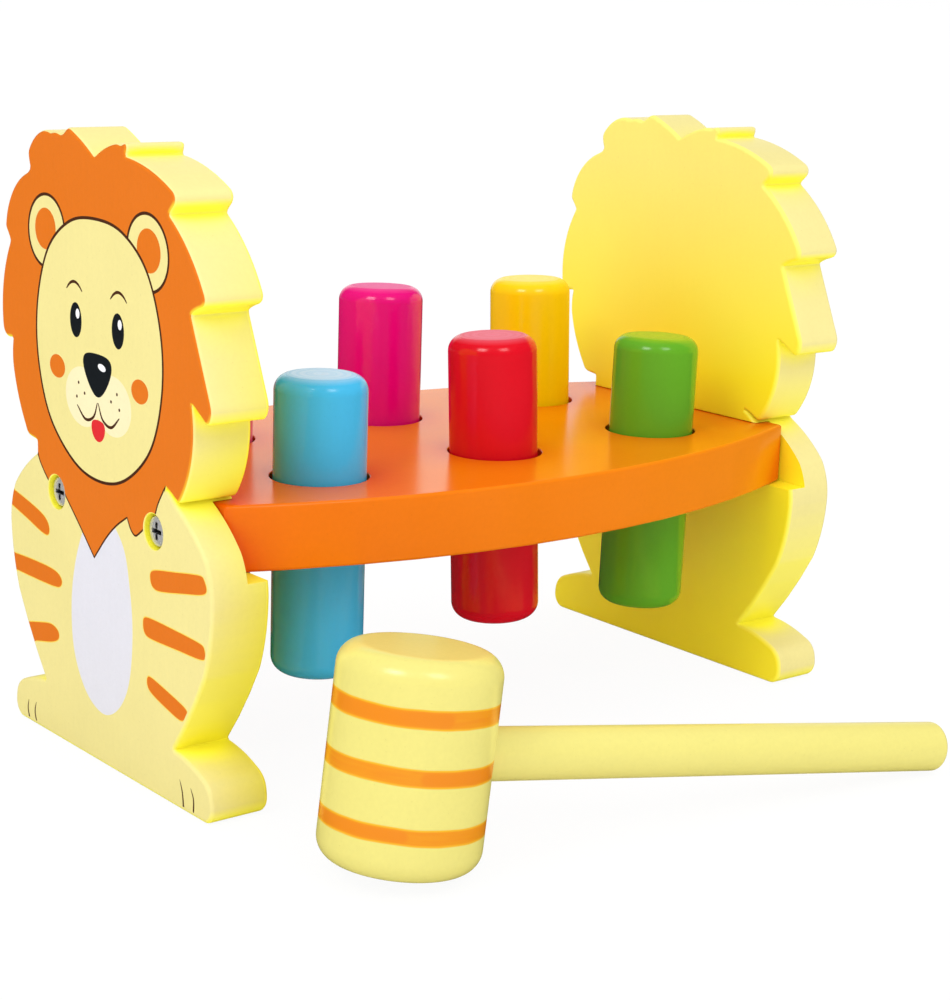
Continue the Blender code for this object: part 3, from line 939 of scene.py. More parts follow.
def laid_print(colours, border):
    """The print cut to the panel's flat face: layers to paint, and lines for the face's edges.

    A layer is (outline, colour, whether it runs off the edge).
    """
    safe = border - sideways(border) * 0.2
    layers, lines = [], []
    for outline, colour, *outside in print_layers(colours):
        if outside:
            line = on_border(outline, border)
            lines.append((line, False))
            past = outside[0] or (line[-1] + (6.0, -0.4), line[0] + (6.0, 0.4))
            outline = np.vstack([line, *past])
        else:
            outline = kept_inside(outline, safe)
            lines.append((outline, True))
        layers.append((outline, colour, bool(outside)))
    return layers, lines


def painted(points, layers, default):
    """The colour of each point: that of the last shape which holds it."""
    colours = np.tile(np.array(default, np.float32), (len(points), 1))
    for outline, colour, _ in layers:
        colours[inside(outline, points)] = colour
    return colours


def edge_reach(outline, radius):
    """How far the rounded edge reaches inwards at each point: less where the outline turns tightly."""
    tight = 0.8 * PANEL_SPACING / np.maximum(turning(outline), 1e-3)
    even = softened(np.minimum(radius, tight)[:, None], 1.0, PANEL_SPACING)[:, 0]
    return np.minimum(even, tight)


def add_panel(name, side, material, sizes, colours):
    """A lion-shaped end panel with its groove, bores and print."""
    outer = side * OUTER_X
    outline = panel_outline()
    radius = sizes.panel_round / MM
    rings = rounded_edge(outline, radius, edge_reach(outline, radius), PANEL_THICKNESS)
    border = rings[0][0]
    layers, lines = laid_print(colours, border)
    verts, faces = board(rings, flat_face(border, lines), flat_face(border))
    placed = [(outer - side * depth, y + BENCH_Y, z) for y, z, depth in verts]
    panel = new_object(name, placed, faces, material)
    cut(panel, [groove_cutter(side), *bore_cutters(side)])
    paint_panel(panel, outer, layers, border, colours)
    smooth_shading(panel, flat_axis=0)
    return panel


def groove_cutter(side):
    """The groove for the plank's end, with its mouth a little rounded."""
    edge_z = PLANK_TOP + GROOVE_CLEAR
    inner = OUTER_X - PANEL_THICKNESS + MOUTH_ROUND
    half_profile = [(GROOVE_FLOOR_X, edge_z)]
    for turn in np.radians(np.linspace(0.0, MOUTH_TURN, 5)):
        rise = MOUTH_ROUND * (1 - math.cos(turn))
        half_profile.append((inner - MOUTH_ROUND * math.sin(turn), edge_z + rise))
    last_x, last_z = half_profile[-1]
    half_profile.append((last_x - 1.0, last_z + MOUTH_FLARE))
    profile = half_profile + [(x, 2 * PLANK_MIDDLE_Z - z) for x, z in reversed(half_profile)]
    verts = []
    for y in (-80.0, 80.0):
        verts += [(side * x, y + BENCH_Y, z) for x, z in profile]
    return prism(f"groove_{side}", verts)


def bore_cutters(side):
    """Counterbores with eased mouths and the screws' clearance holes."""
    ease = 0.45
    clearance = SHANK_RADIUS + 0.2
    radius = COUNTERBORE_RADIUS
    profile = [(0.0, -PANEL_THICKNESS), (clearance, -PANEL_THICKNESS), (clearance, -COUNTERBORE_DEPTH)]
    profile += [(radius, -COUNTERBORE_DEPTH), (radius, -ease)]
    for turn in np.radians((25.0, 50.0, 72.0)):
        profile.append((radius + ease * (1 - math.cos(turn)), -ease + ease * math.sin(turn)))
    profile += [(radius + ease + 1.0, 0.4), (0.0, 0.4)]
    cutters = []
    for row in (-1, 1):
        place = Matrix.Translation((side * OUTER_X, row * SCREW_SPACING / 2 + BENCH_Y, PLANK_MIDDLE_Z))
        matrix = in_metres(place @ Matrix.Rotation(side * math.pi / 2, 4, "Y"))
        cutters.append(turned(f"bore_{side}_{row}", profile, 64, matrix=matrix))
    return cutters


def paint_panel(panel, outer, layers, border, colours):
    """Lays the print's colours on the outer face and on the first turn of its edge, and painted bounce
    light and shade on the inner face and in the groove.
    """
    mesh = panel.data
    middles = read(mesh.polygons, "center", 3) / MM
    places = middles[:, 1:] - (BENCH_Y, 0.0)
    on_face = inside(border, places)
    facing = read(mesh.polygons, "normal", 3)[:, 0] * math.copysign(1.0, outer)
    depth = np.abs(middles[:, 0] - outer)
    flat = (depth < 0.01) & (facing > 0.999)
    colour = np.tile(np.array(colours.yellow, np.float32), (len(middles), 1))
    colour[flat] = painted(places[flat], layers, colours.yellow)
    # Painted bounce light on the inner face and the last turn of its edge.
    colour[depth > PANEL_THICKNESS - INNER_EDGE] = colours.inner_bounce_yellow
    # Painted shade and bounce light in the groove: the deeper yellow in the right panel's, the inner one
    # in the left panel's.
    in_groove = (depth > GROOVE_WALL - 0.1) & (depth < PANEL_THICKNESS - 0.01)
    groove_bounce_yellow = SHADE_AND_BOUNCE_YELLOW[:3] if outer > 0 else colours.inner_bounce_yellow
    colour[in_groove & on_face] = groove_bounce_yellow
    edge = ~flat & (facing > 0.62) & ~on_face
    if edge.any():
        gaps = np.linalg.norm(places[edge][:, None] - border[None], axis=2)
        nearest = np.argsort(gaps, axis=1)[:, :2]
        beside = border[nearest].mean(axis=1) - sideways(border)[nearest[:, 0]] * 0.03
        colour[edge] = painted(beside, [layer for layer in layers if layer[2]], colours.yellow)
    counts = read(mesh.polygons, "loop_total", kind=np.int32)
    corners = np.repeat(np.column_stack([colour, np.ones(len(colour))]), counts, axis=0)
    layer = mesh.color_attributes.new("print", "FLOAT_COLOR", "CORNER")
    layer.data.foreach_set("color", corners.astype(np.float32).ravel())


# Plank


def hole_middle(column, row):
    """A peg hole's middle, by its column from the left and its row from the front."""
    return (column - 1) * HOLE_PITCH, (row - 0.5) * ROW_PITCH + ROW_SHIFT


def plank_outline():
    """The plank's outline with its long sides bowed outwards."""
    bulge = PLANK_HALF_WIDTH - PLANK_HALF_END
    corners = [
        ((PLANK_HALF_LENGTH, -PLANK_HALF_END), 0.0),
        ((PLANK_HALF_LENGTH, PLANK_HALF_END), bulge),
        ((-PLANK_HALF_LENGTH, PLANK_HALF_END), 0.0),
        ((-PLANK_HALF_LENGTH, -PLANK_HALF_END), bulge),
    ]
    dense = resampled(closed_outline(corners), 0.4)
    return resampled(softened(dense, 0.6, 0.4), 1.6)


def hole_wall(ease, thickness):
    """Radius and depth down a peg hole, with eased mouths and a groove for its ring."""
    profile = [(HOLE_RADIUS + ease, 0.0)]
    for angle in np.radians((30.0, 60.0, 90.0)):
        profile.append((HOLE_RADIUS + ease * (1 - math.sin(angle)), ease * (1 - math.cos(angle))))
    groove = thickness / 2 - RING_GROOVE_HALF
    profile += [(HOLE_RADIUS, groove), (RING_GROOVE_RADIUS, groove)]
    return profile + [(radius, thickness - depth) for radius, depth in reversed(profile)]


def add_plank(material, sizes):
    """The plank with its rounded edge and its six peg holes."""
    thickness = PLANK_TOP - PLANK_BOTTOM
    outline = plank_outline()
    radius = sizes.plank_round / MM
    rings = rounded_edge(outline, radius, np.full(len(outline), radius), thickness)
    wall = hole_wall(sizes.hole_round / MM, thickness)
    turns = np.linspace(0.0, math.tau, 96, endpoint=False)
    circle = np.column_stack([np.cos(turns), np.sin(turns)])
    middles = [hole_middle(column, row) for row in range(2) for column in range(3)]
    mouths = [circle * wall[0][0] + middle for middle in middles]
    face = flat_face(rings[0][0], [(mouth, True) for mouth in mouths], mouths)
    verts, faces = board(rings, face, face)
    for middle in middles:
        rows = [[(x, y, depth) for x, y in circle * wide + middle] for wide, depth in wall]
        faces += bridged([add_row(verts, row) for row in rows])
    placed = [(x, y + BENCH_Y, PLANK_TOP - depth) for x, y, depth in verts]
    plank = new_object("plank_board", placed, faces, material)
    smooth_shading(plank, flat_axis=2)
    return plank


# Pegs


def peg_profile():
    """Radius and height of a turned peg from its lower end to its upper one.

    Each end face is a shallow dish with a small dimple in its middle.
    """
    half = PEG_LENGTH / 2
    flat = PEG_RADIUS - PEG_ROUND
    end = [(0.0, 0.30), (0.5, 0.28), (0.9, 0.10), (1.5, 0.06)]
    end += [(radius, 0.06) for radius in np.linspace(2.2, flat - 0.8, 9)]
    lower = [(radius, -half + rise) for radius, rise in (*end, (flat - 0.3, 0.02))]
    lower += quarter(PEG_ROUND, (flat, -half + PEG_ROUND), -90.0, 0.0, 12)
    side = [(PEG_RADIUS, height) for height in np.linspace(-half + PEG_ROUND, half - PEG_ROUND, 8)[1:-1]]
    return lower + side + [(radius, -height) for radius, height in reversed(lower)]


def add_peg(colour, column, row, proud, lean_x, lean_y, material):
    """A peg in its hole, this far proud of the plank. Its turn attribute is the radius on its ends."""
    x, y = hole_middle(column, row)
    middle = Matrix.Translation((x, y + BENCH_Y, PLANK_MIDDLE_Z))
    lean = Euler((math.radians(-lean_y), math.radians(lean_x), 0.0)).to_matrix().to_4x4()
    slide = Matrix.Translation((0.0, 0.0, (PLANK_TOP - PLANK_BOTTOM) / 2 + proud - PEG_LENGTH / 2))
    peg = turned(f"{colour}_peg_turning", peg_profile(), 96, material)
    places = read(peg.data.vertices, "co", 3) / MM
    on_end = np.abs(places[:, 2]) > PEG_LENGTH / 2 - 1.6
    radius = np.where(on_end, np.linalg.norm(places[:, :2], axis=1), PEG_RADIUS)
    turn = peg.data.attributes.new("turn", "FLOAT", "POINT")
    turn.data.foreach_set("value", radius.astype(np.float32))
    peg.data.transform(in_metres(middle @ lean @ slide))
    smooth_shading(peg)
    return peg


def turned_ends(material, tint, strength):
    """Fine turning marks on the pegs' end faces, and their paler colour: partly a thinner coat, partly a
    painted reflection of the bright studio.
    """
    tree = material.node_tree
    shader = tree.nodes["Principled BSDF"]
    radius = node(tree, "ShaderNodeAttribute", attribute_name="turn").outputs["Fac"]
    inputs = {"W": radius, "Scale": 0.8, "Detail": 1.0}
    marks = node(tree, "ShaderNodeTexNoise", inputs, noise_dimensions="1D").outputs["Fac"]
    end = ramp(tree, radius, 12.3, 8.0)
    uneven = scaled(tree, ramp(tree, marks, 0.35, 0.65), 0.3 * strength, 0.8 * strength)
    # The ends' paler tint: partly a thinner coat, partly a painted reflection.
    tinted(material, "MIX", product(tree, end, uneven), opaque(tint))
    gloss = shader.inputs["Roughness"].links[0].from_socket
    wire(tree, shader, {"Roughness": scaled(tree, ramp(tree, radius, 10.5, 8.8), 0.42, gloss)})
    add_bump(tree, shader, product(tree, end, marks), 0.12, 0.4 * MM)


# Rings and screws


def screw_mesh():
    """One round-headed screw along Z, with its head up and the head's seat at the origin."""
    tip = -SCREW_LENGTH
    profile = [(0.0, tip), (0.35, tip + 0.4), (SHANK_RADIUS, tip + 3.5), (SHANK_RADIUS, 0.1)]
    rim = SCREW_HEAD - 0.1
    profile += [(rim, 0.1), (SCREW_HEAD, 0.25), (SCREW_HEAD, 1.95), (rim, 2.2)]
    for share in np.linspace(0.0, 1.0, 9)[1:]:
        radius = (SCREW_HEAD - 0.25) * (1 - share)
        profile.append((radius, 2.27 + 0.33 * (1 - (radius / SCREW_HEAD) ** 2)))
    screw = turned("screws", profile, 48)
    cut(screw, [cross_cutter()])
    return screw


def cross_cutter():
    """A cross recess with tapered arms."""
    verts = []
    for height, span, slot in ((0.9, 1.8, 0.45), (3.1, 2.85, 0.72)):
        for quarter_turn in range(4):
            turn = Matrix.Rotation(quarter_turn * math.pi / 2, 2)
            for corner in ((span, -slot), (span, slot), (slot, slot)):
                verts.append((*(turn @ Vector(corner)), height))
    return prism("cross", verts)


def repeated(obj, label, build, inputs, material):
    """Repeats the object's mesh by a node tree with named inputs and keeps the plain result."""
    tree = bpy.data.node_groups.new(label, "GeometryNodeTree")
    for way in ("INPUT", "OUTPUT"):
        tree.interface.new_socket(name="Geometry", in_out=way, socket_type="NodeSocketGeometry")
    identifiers = []
    for name, kind, value in inputs:
        socket = tree.interface.new_socket(name=name, in_out="INPUT", socket_type=kind)
        socket.default_value = value
        identifiers.append(socket.identifier)
    result = build(tree, tree.nodes.new("NodeGroupInput").outputs)
    realized = node(tree, "GeometryNodeRealizeInstances", {"Geometry": result}).outputs[0]
    finished = node(tree, "GeometryNodeSetMaterial", {"Geometry": realized, "Material": material})
    tree.links.new(finished.outputs[0], tree.nodes.new("NodeGroupOutput").inputs[0])
    modifier = obj.modifiers.new(label, "NODES")
    modifier.node_group = tree
    for identifier, (_, _, value) in zip(identifiers, inputs):
        modifier[identifier] = value
    bake(obj)
    return obj


def ring_tree(tree, source):
    """A ring at each point of a grid of three by two."""
    inputs = {"Size X": source["Length"], "Size Y": source["Width"], "Vertices X": 3, "Vertices Y": 2}
    grid = node(tree, "GeometryNodeMeshGrid", inputs).outputs[0]
    inputs = {"Geometry": grid, "Translation": source["Middle"]}
    placed = node(tree, "GeometryNodeTransform", inputs).outputs[0]
    inputs = {"Points": placed, "Instance": source["Geometry"]}
    return node(tree, "GeometryNodeInstanceOnPoints", inputs).outputs[0]


def screw_tree(tree, source):
    """Two screws on a line at the right end, and the same turned half round for the left end."""
    inputs = {"Count": 2, "Start Location": source["Start"], "Offset": source["Spacing"]}
    line = node(tree, "GeometryNodeMeshLine", inputs).outputs[0]
    inputs = {"Points": line, "Instance": source["Geometry"], "Rotation": (0.0, math.pi / 2, 0.0)}
    row = node(tree, "GeometryNodeInstanceOnPoints", inputs).outputs[0]
    inputs = {"Geometry": row, "Rotation": (0.0, 0.0, math.pi), "Translation": source["Turn offset"]}
    turned_row = node(tree, "GeometryNodeTransform", inputs).outputs[0]
    joined = tree.nodes.new("GeometryNodeJoinGeometry")
    for part_row in (row, turned_row):
        tree.links.new(part_row, joined.inputs[0])
    return joined.outputs[0]


# Mallet


def mallet_pose():
    """The mallet's place: Z up the head and X along the handle."""
    up = MALLET_HEAD_AXIS.normalized()
    along = MALLET_HANDLE_AXIS.normalized()
    columns = Matrix((along, up.cross(along), up)).transposed().to_4x4()
    return Matrix.Translation(MALLET_PLACE) @ columns


def add_head(material):
    """The mallet's head with its bore. Its head_place attribute is the place on the head itself."""
    flat = HEAD_RADIUS - HEAD_ROUND
    top = HEAD_HALF - HEAD_ROUND
    profile = [(0.0, -HEAD_HALF)] + [(radius, -HEAD_HALF) for radius in np.linspace(1.5, flat - 0.5, 6)]
    profile += quarter(HEAD_ROUND, (flat, -top), -90.0, 0.0, 14)
    profile += [(HEAD_RADIUS, height) for height in np.linspace(-top, top, 24)[1:-1]]
    profile += quarter(HEAD_ROUND, (flat, top), 0.0, 90.0, 14)
    profile += [(radius, HEAD_HALF) for radius in np.linspace(flat - 0.5, 1.5, 6)] + [(0.0, HEAD_HALF)]
    head = turned("mallet_barrel", profile, 144, material)
    bore_radius = HANDLE_RADIUS + 0.08
    floor = -HANDLE_SEAT - 0.1
    mouth = HEAD_RADIUS + 1.0
    bore = [(0.0, floor), (bore_radius, floor), (bore_radius, mouth), (0.0, mouth)]
    cut(head, [turned("head_bore", bore, 64, matrix=Matrix.Rotation(math.pi / 2, 4, "Y"))])
    places = read(head.data.vertices, "co", 3) / MM
    head_place = head.data.attributes.new("head_place", "FLOAT_VECTOR", "POINT")
    head_place.data.foreach_set("vector", places.astype(np.float32).ravel())
    head.data.transform(in_metres(mallet_pose()))
    smooth_shading(head)
    return head


def add_handle(material):
    """The mallet's straight handle, seated in the head's bore."""
    start = -HANDLE_SEAT
    end = HANDLE_REACH - HANDLE_ROUND
    profile = [(0.0, start), (HANDLE_RADIUS - 0.3, start), (HANDLE_RADIUS, start + 0.3)]
    profile += [(HANDLE_RADIUS, height) for height in np.linspace(0.0, end, 20)[:-1]]
    profile += quarter(HANDLE_ROUND, (HANDLE_RADIUS - HANDLE_ROUND, end), 0.0, 90.0, 8)
    profile += [(3.0, HANDLE_REACH), (0.0, HANDLE_REACH)]
    matrix = in_metres(mallet_pose() @ Matrix.Rotation(math.pi / 2, 4, "Y"))
    handle = turned("mallet_grip", profile, 72, material, matrix)
    smooth_shading(handle)
    return handle


def banded_lacquer(colours, sizes):
    """The mallet's yellow lacquer with three orange bands, a little uneven at their edges."""
    material = lacquer("mallet_banded_lacquer", colours.mallet_yellow, 0.25, specular=0.7)
    tree = material.node_tree
    base = tree.nodes["Principled BSDF"].inputs["Base Color"]
    rim, deep = opaque(colours.band_rim), opaque(colours.band_deep)
    waver = noise(tree, own_place(tree), 55.0, 2.0)
    head_place = node(tree, "ShaderNodeAttribute", attribute_name="head_place").outputs["Vector"]
    back_x, back_y = (product(tree, part(tree, head_place, axis), -1.0) for axis in "XY")
    height = maths(tree, "ADD", part(tree, head_place, "Z"), scaled(tree, waver, 1.1, -0.55))
    arc = product(tree, maths(tree, "ARCTAN2", back_y, back_x), HEAD_RADIUS)
    streaks = node(tree, "ShaderNodeCombineXYZ", {"X": product(tree, arc, 0.09), "Y": height})
    tone = ramp(tree, noise(tree, streaks.outputs[0], 0.9, 2.0), 0.4, 0.65, last=0.55)
    orange = colour_mix(tree, "MIX", tone, opaque(colours.band_orange), deep)
    colour = base.links[0].from_socket
    for middle, share, start, end in BANDS:
        half = sizes.band_width / MM * share / 2
        across = maths(tree, "ABSOLUTE", maths(tree, "SUBTRACT", height, middle))
        double = within(tree, stretch(tree, arc, across, start, end), half - 0.7, 0.5)
        doubled = colour_mix(tree, "MIX", double, orange, deep)
        rimmed = colour_mix(tree, "MIX", within(tree, across, half - 0.45, 0.25), rim, doubled)
        colour = colour_mix(tree, "MIX", within(tree, across, half, 0.12), colour, rimmed)
    tree.links.new(colour, base)
    return material


def within(tree, distance, reach, blur):
    """From 0 past the reach to 1 within it."""
    return ramp(tree, distance, reach + blur, reach - blur)


def stretch(tree, arc, across, start, end):
    """Distance from a line along the band, from its start to its end angle in degrees."""
    half = math.radians(end - start) / 2 * HEAD_RADIUS
    middle = math.radians(end + start) / 2 * HEAD_RADIUS
    along = maths(tree, "ABSOLUTE", maths(tree, "SUBTRACT", arc, middle))
    past = maths(tree, "MAXIMUM", maths(tree, "SUBTRACT", along, half), 0.0)
    return maths(tree, "SQRT", scaled(tree, past, past, product(tree, across, across)))


# Stage


def add_camera():
    """The photograph's camera."""
    data = bpy.data.cameras.new("camera")
    data.sensor_fit = "AUTO"
    data.sensor_width = 36.0
    data.lens = CAMERA_LENS
    data.shift_x, data.shift_y = CAMERA_SHIFT
    data.clip_start = 0.01
    camera = linked("camera", data)
    sin_az, cos_az = math.sin(CAMERA_AZIMUTH), math.cos(CAMERA_AZIMUTH)
    flat = math.cos(CAMERA_DIP)
    ahead = Vector((sin_az * flat, cos_az * flat, -math.sin(CAMERA_DIP)))
    level = Vector((cos_az, -sin_az, 0.0))
    above = level.cross(ahead)
    right = level * math.cos(CAMERA_ROLL) + above * math.sin(CAMERA_ROLL)
    turn = Matrix((right, right.cross(ahead), -ahead)).transposed().to_4x4()
    camera.matrix_world = Matrix.Translation(CAMERA_PLACE) @ turn
    bpy.context.scene.camera = camera


def studio_rays(tree, place, near, far, front):
    """Three flags from 0 to 1: camera rays, camera and glossy rays, and how white a ray sees the studio.

    The studio is white to the camera and through glass. To a glossy ray it goes from dark in front
    of the bench to white behind it, between the near and the far place.
    """
    rays = tree.nodes.new("ShaderNodeLightPath").outputs
    camera, glossy = rays["Is Camera Ray"], rays["Is Glossy Ray"]
    ahead = (math.sin(CAMERA_AZIMUTH), math.cos(CAMERA_AZIMUTH), 0.0)
    behind = node(tree, "ShaderNodeVectorMath", {0: place, 1: ahead}, operation="DOT_PRODUCT")
    share = scaled(tree, ramp(tree, behind.outputs["Value"], near, far), 1.0 - front, front)
    straight = maths(tree, "MAXIMUM", camera, rays["Is Transmission Ray"])
    seen = maths(tree, "MAXIMUM", straight, product(tree, glossy, share))
    return camera, maths(tree, "MAXIMUM", camera, glossy), seen


def add_floor(studio):
    """White paper under the bench, with a faint shadow."""
    bm = bmesh.new()
    bmesh.ops.create_grid(bm, x_segments=1, y_segments=1, size=FLOOR_HALF)
    mesh = bpy.data.meshes.new("floor")
    bm.to_mesh(mesh)
    bm.free()
    material = bpy.data.materials.new("floor_white")
    material.use_nodes = True
    tree = material.node_tree
    tree.nodes.clear()
    camera, direct, seen = studio_rays(tree, own_place(tree), 2.5, 8.0, studio.front)
    glow = node(tree, "ShaderNodeEmission", {"Color": WHITE, "Strength": seen})
    tone = scaled(tree, camera, PAPER_SHOWN - studio.floor, studio.floor)
    paper = node(tree, "ShaderNodeBsdfDiffuse", {"Color": tone})
    shown = maths(tree, "SUBTRACT", direct, product(tree, camera, studio.shadow))
    both = node(tree, "ShaderNodeMixShader", {0: shown, 1: paper.outputs[0], 2: glow.outputs[0]})
    node(tree, "ShaderNodeOutputMaterial", {"Surface": both.outputs[0]})
    mesh.materials.append(material)
    floor = linked("floor", mesh)
    floor.location.z = -0.2 * MM


def add_world(studio):
    """Soft light from all round, brighter from above."""
    world = bpy.data.worlds.new("studio")
    bpy.context.scene.world = world
    world.use_nodes = True
    tree = world.node_tree
    way = node(tree, "ShaderNodeTexCoord").outputs["Generated"]
    _, direct, seen = studio_rays(tree, way, 0.8, 0.97, studio.front)
    upward = maths(tree, "MAXIMUM", part(tree, way, "Z"), 0.0)
    all_round = product(tree, scaled(tree, upward, studio.overhead, 1.0), studio.ambient)
    strength = scaled(tree, maths(tree, "SUBTRACT", 1.0, direct), all_round, seen)
    wire(tree, tree.nodes["Background"], {"Color": WHITE, "Strength": strength})


def add_lamp(name, azimuth, elevation, power, studio):
    """A square soft lamp that looks at the bench's middle. Azimuth runs from -Y towards +X."""
    turn, rise = math.radians(azimuth), math.radians(elevation)
    away = Vector((math.sin(turn) * math.cos(rise), -math.cos(turn) * math.cos(rise), math.sin(rise)))
    data = bpy.data.lights.new(name, "AREA")
    data.shape = "SQUARE"
    data.size = studio.lamp_size
    data.energy = power
    lamp = linked(name, data)
    lamp.location = LAMP_TARGET + away * studio.lamp_distance
    lamp.rotation_euler = away.to_track_quat("Z", "Y").to_euler()


# Operators


def settings(context):
    """The scene's sizes, colours and studio."""
    return [getattr(context.scene, name) for name in GROUPS]


def stand_in(obj, body, slot, *nodes):
    """The piece rides on its body and stands for these CAD nodes."""
    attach(obj, body)
    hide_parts(*nodes)


class BENCH_OT_panels(bpy.types.Operator):
    """Build both lion-shaped end panels with their print"""

    bl_idname = "bench.panels"
    bl_label = "End panels"

    def execute(self, context):
        sizes, colours, _ = settings(context)
        look = {"grain": (60.0, 60.0, 6.0), "attribute": "print", "specular": 0.3}
        material = lacquer("panel_printed_lacquer", colours.yellow, 0.36, **look)
        tree = material.node_tree
        # Painted shade and bounce light: yellow deepened low on the inner faces, low on the left panel's
        # sides, in corners and on faces that look down.
        face, sides = inner_depth(tree)
        tinted(material, "MIX", face, SHADE_AND_BOUNCE_YELLOW)
        tinted(material, "MULTIPLY", sides, SHADED_SIDE)
        shade_share = maths(tree, "MAXIMUM", nooks(tree, 13.0 * MM, True), undersides(tree))
        tinted(material, "MIX", product(tree, shade_share, 0.9), SHADED_YELLOW)
        for side, name in ((-1, "left"), (1, "right")):
            panel = add_panel(f"lion_panel_{name}", side, material, sizes, colours)
            stand_in(panel, "bench", "panel_lacquer", f"panel_{name}")
        return {"FINISHED"}


class BENCH_OT_plank(bpy.types.Operator):
    """Build the curved plank with its six peg holes"""

    bl_idname = "bench.plank"
    bl_label = "Plank"

    def execute(self, context):
        sizes, colours, _ = settings(context)
        material = lacquer("plank_orange_lacquer", colours.orange, 0.21, (6.0, 60.0, 60.0), specular=0.28)
        tree = material.node_tree
        along = part(tree, own_place(tree), "X")
        rightward = ramp(tree, along, PLANK_LOW.x * MM, PLANK_HIGH.x * MM)
        tinted(material, "MULTIPLY", rightward, WARM_ORANGE)
        # Painted shade: the orange darker and redder where the panels and pegs shut out the light.
        tinted(material, "MULTIPLY", nooks(tree, 20.0 * MM, False), SHADED_ORANGE)
        plank = add_plank(material, sizes)
        stand_in(plank, "bench", "plank_lacquer", "plank")
        return {"FINISHED"}


class BENCH_OT_pegs(bpy.types.Operator):
    """Turn the six coloured pegs, each at its own height and lean"""

    bl_idname = "bench.pegs"
    bl_label = "Pegs"

    def execute(self, context):
        _, colours, _ = settings(context)
        for colour, *place in PEGS:
            shade = colours.yellow_peg if colour == "yellow" else getattr(colours, colour)
            material = lacquer(f"peg_{colour}_gloss", shade, 0.18, (60.0, 60.0, 6.0), depth=0.7)
            turned_ends(material, *PEG_ENDS_AND_REFLECTION[colour])
            peg = add_peg(colour, *place, material)
            stand_in(peg, f"{colour}_peg", f"peg_{colour}_lacquer", f"peg_{colour}")
        return {"FINISHED"}


class BENCH_OT_rings(bpy.types.Operator):
    """Set a rubber friction ring in the groove of each peg hole"""

    bl_idname = "bench.rings"
    bl_label = "Friction rings"

    def execute(self, context):
        _, colours, _ = settings(context)
        material, tree, shader, _ = grained("friction_ring_rubber", colours.rubber, 900.0, 3.0, 0.8, 1.2)
        wire(tree, shader, {"Roughness": 0.7})
        middle = (0.0, (BENCH_Y + ROW_SHIFT) * MM, PLANK_MIDDLE_Z * MM)
        inputs = (
            ("Length", "NodeSocketFloat", 2 * HOLE_PITCH * MM),
            ("Width", "NodeSocketFloat", ROW_PITCH * MM),
            ("Middle", "NodeSocketVector", middle),
        )
        ring = turned("friction_rings", quarter(RING_SECTION, (RING_RADIUS, 0.0), 0.0, 360.0, 14), 64)
        rings = repeated(ring, "ring_places", ring_tree, inputs, material)
        smooth_shading(rings)
        stand_in(rings, "bench", "ring_rubber", *[f"friction_ring_{peg[0]}" for peg in PEGS])
        return {"FINISHED"}


class BENCH_OT_screws(bpy.types.Operator):
    """Drive two screws through each end panel"""

    bl_idname = "bench.screws"
    bl_label = "Screws"

    def execute(self, context):
        _, colours, _ = settings(context)
        look = ("screw_zinc_steel", colours.steel, 700.0, 4.0, 0.85, 1.15)
        material, tree, shader, grain = grained(*look)
        wire(tree, shader, {"Roughness": scaled(tree, grain, 0.16, 0.18), "Metallic": 0.5})
        # Painted shade: the cross recess darkened.
        tinted(material, "MULTIPLY", nooks(tree, 1.8 * MM, True), RECESS_SHADE)
        add_bump(tree, shader, grain, 0.2, 0.05 * MM)
        start = (SCREW_SEAT_X * MM, (BENCH_Y - SCREW_SPACING / 2) * MM, PLANK_MIDDLE_Z * MM)
        inputs = (
            ("Start", "NodeSocketVector", start),
            ("Spacing", "NodeSocketVector", (0.0, SCREW_SPACING * MM, 0.0)),
            ("Turn offset", "NodeSocketVector", (0.0, 2 * BENCH_Y * MM, 0.0)),
        )
        screws = repeated(screw_mesh(), "screw_places", screw_tree, inputs, material)
        smooth_shading(screws, angle=30.0)
        names = [f"screw_{side}_{row}" for side in ("left", "right") for row in ("front", "back")]
        stand_in(screws, "bench", "screw_steel", *names)
        return {"FINISHED"}


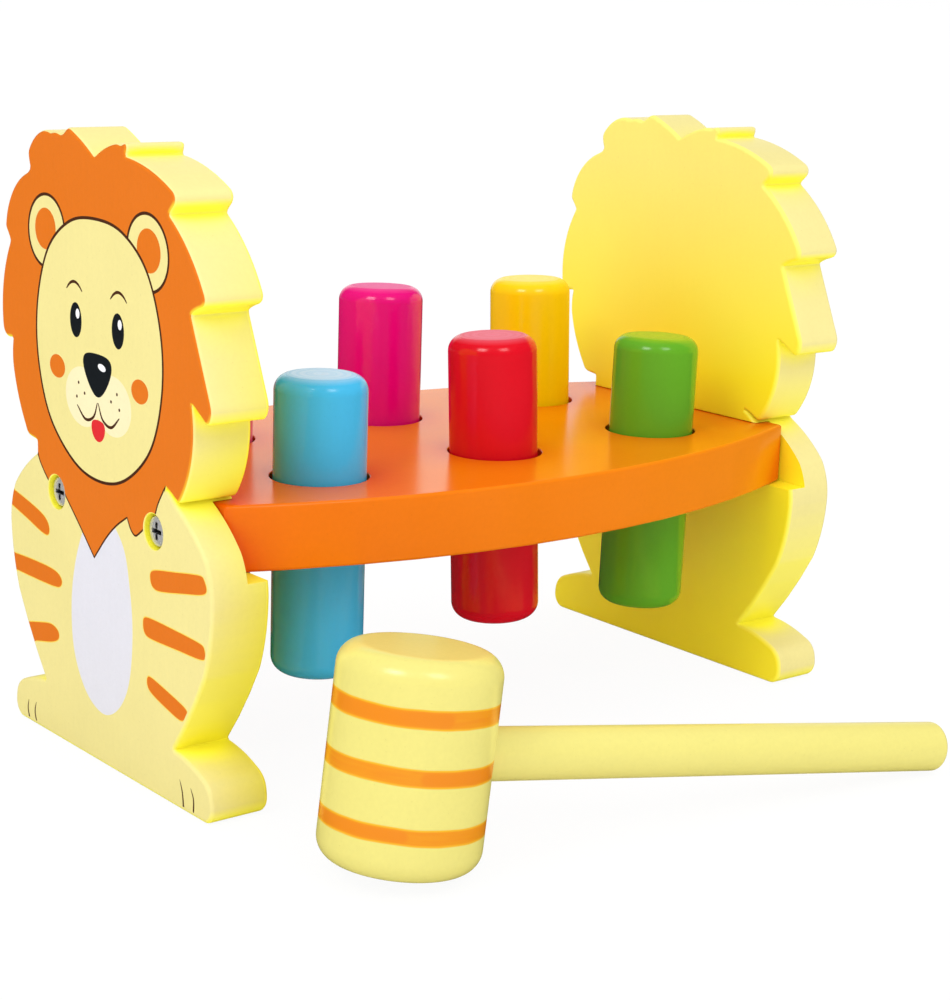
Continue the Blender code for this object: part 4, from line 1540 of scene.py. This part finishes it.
class BENCH_OT_mallet(bpy.types.Operator):
    """Build the mallet's banded head and its handle"""

    bl_idname = "bench.mallet"
    bl_label = "Mallet"

    def execute(self, context):
        sizes, colours, _ = settings(context)
        head = add_head(banded_lacquer(colours, sizes))
        stand_in(head, "mallet", "mallet_lacquer", "mallet_head")
        look = {"grain": (6.0, 60.0, 60.0), "specular": 0.4}
        handle = add_handle(lacquer("mallet_handle_lacquer", colours.mallet_yellow, 0.32, **look))
        stand_in(handle, "mallet", "mallet_lacquer", "mallet_handle")
        return {"FINISHED"}


class BENCH_OT_stage(bpy.types.Operator):
    """Set up the white studio: floor, soft lamps, world and camera"""

    bl_idname = "bench.stage"
    bl_label = "Stage"

    def execute(self, context):
        *_, studio = settings(context)
        context.scene.view_settings.view_transform = "Standard"
        add_camera()
        add_floor(studio)
        add_world(studio)
        add_lamp("lamp_left", -72.0, 43.0, studio.left_power, studio)
        add_lamp("lamp_right", -4.0, 44.0, studio.right_power, studio)
        return {"FINISHED"}


class BENCH_PT_pieces(bpy.types.Panel):
    """Lists the bench's pieces"""

    bl_label = "Pounding Bench"
    bl_idname = "BENCH_PT_pieces"
    bl_space_type = "VIEW_3D"
    bl_region_type = "UI"
    bl_category = "Bench"

    def draw(self, context):
        for operator in OPERATORS:
            self.layout.operator(operator.bl_idname)
        for group in settings(context):
            box = self.layout.box()
            for name in group.bl_rna.properties.keys():
                if name not in ("rna_type", "name"):
                    box.prop(group, name)


OPERATORS = (
    BENCH_OT_stage,
    BENCH_OT_panels,
    BENCH_OT_plank,
    BENCH_OT_pegs,
    BENCH_OT_rings,
    BENCH_OT_screws,
    BENCH_OT_mallet,
)
GROUPS = {"bench_sizes": BenchSizes, "bench_colours": BenchColours, "bench_studio": BenchStudio}


CLASSES = (*GROUPS.values(), *OPERATORS, BENCH_PT_pieces)


def register():
    """Adds the classes and their settings to Blender."""
    for cls in CLASSES:
        bpy.utils.register_class(cls)
    for name, group in GROUPS.items():
        setattr(bpy.types.Scene, name, PointerProperty(type=group))


def unregister():
    """Takes the settings and the classes out again."""
    for name in GROUPS:
        delattr(bpy.types.Scene, name)
    for cls in reversed(CLASSES):
        bpy.utils.unregister_class(cls)


def main():
    """Builds the stage and all pieces."""
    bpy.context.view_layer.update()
    register()
    bpy.ops.bench.stage()
    bpy.ops.bench.panels()
    bpy.ops.bench.plank()
    bpy.ops.bench.pegs()
    bpy.ops.bench.rings()
    bpy.ops.bench.screws()
    bpy.ops.bench.mallet()


if __name__ == "__main__":
    main()
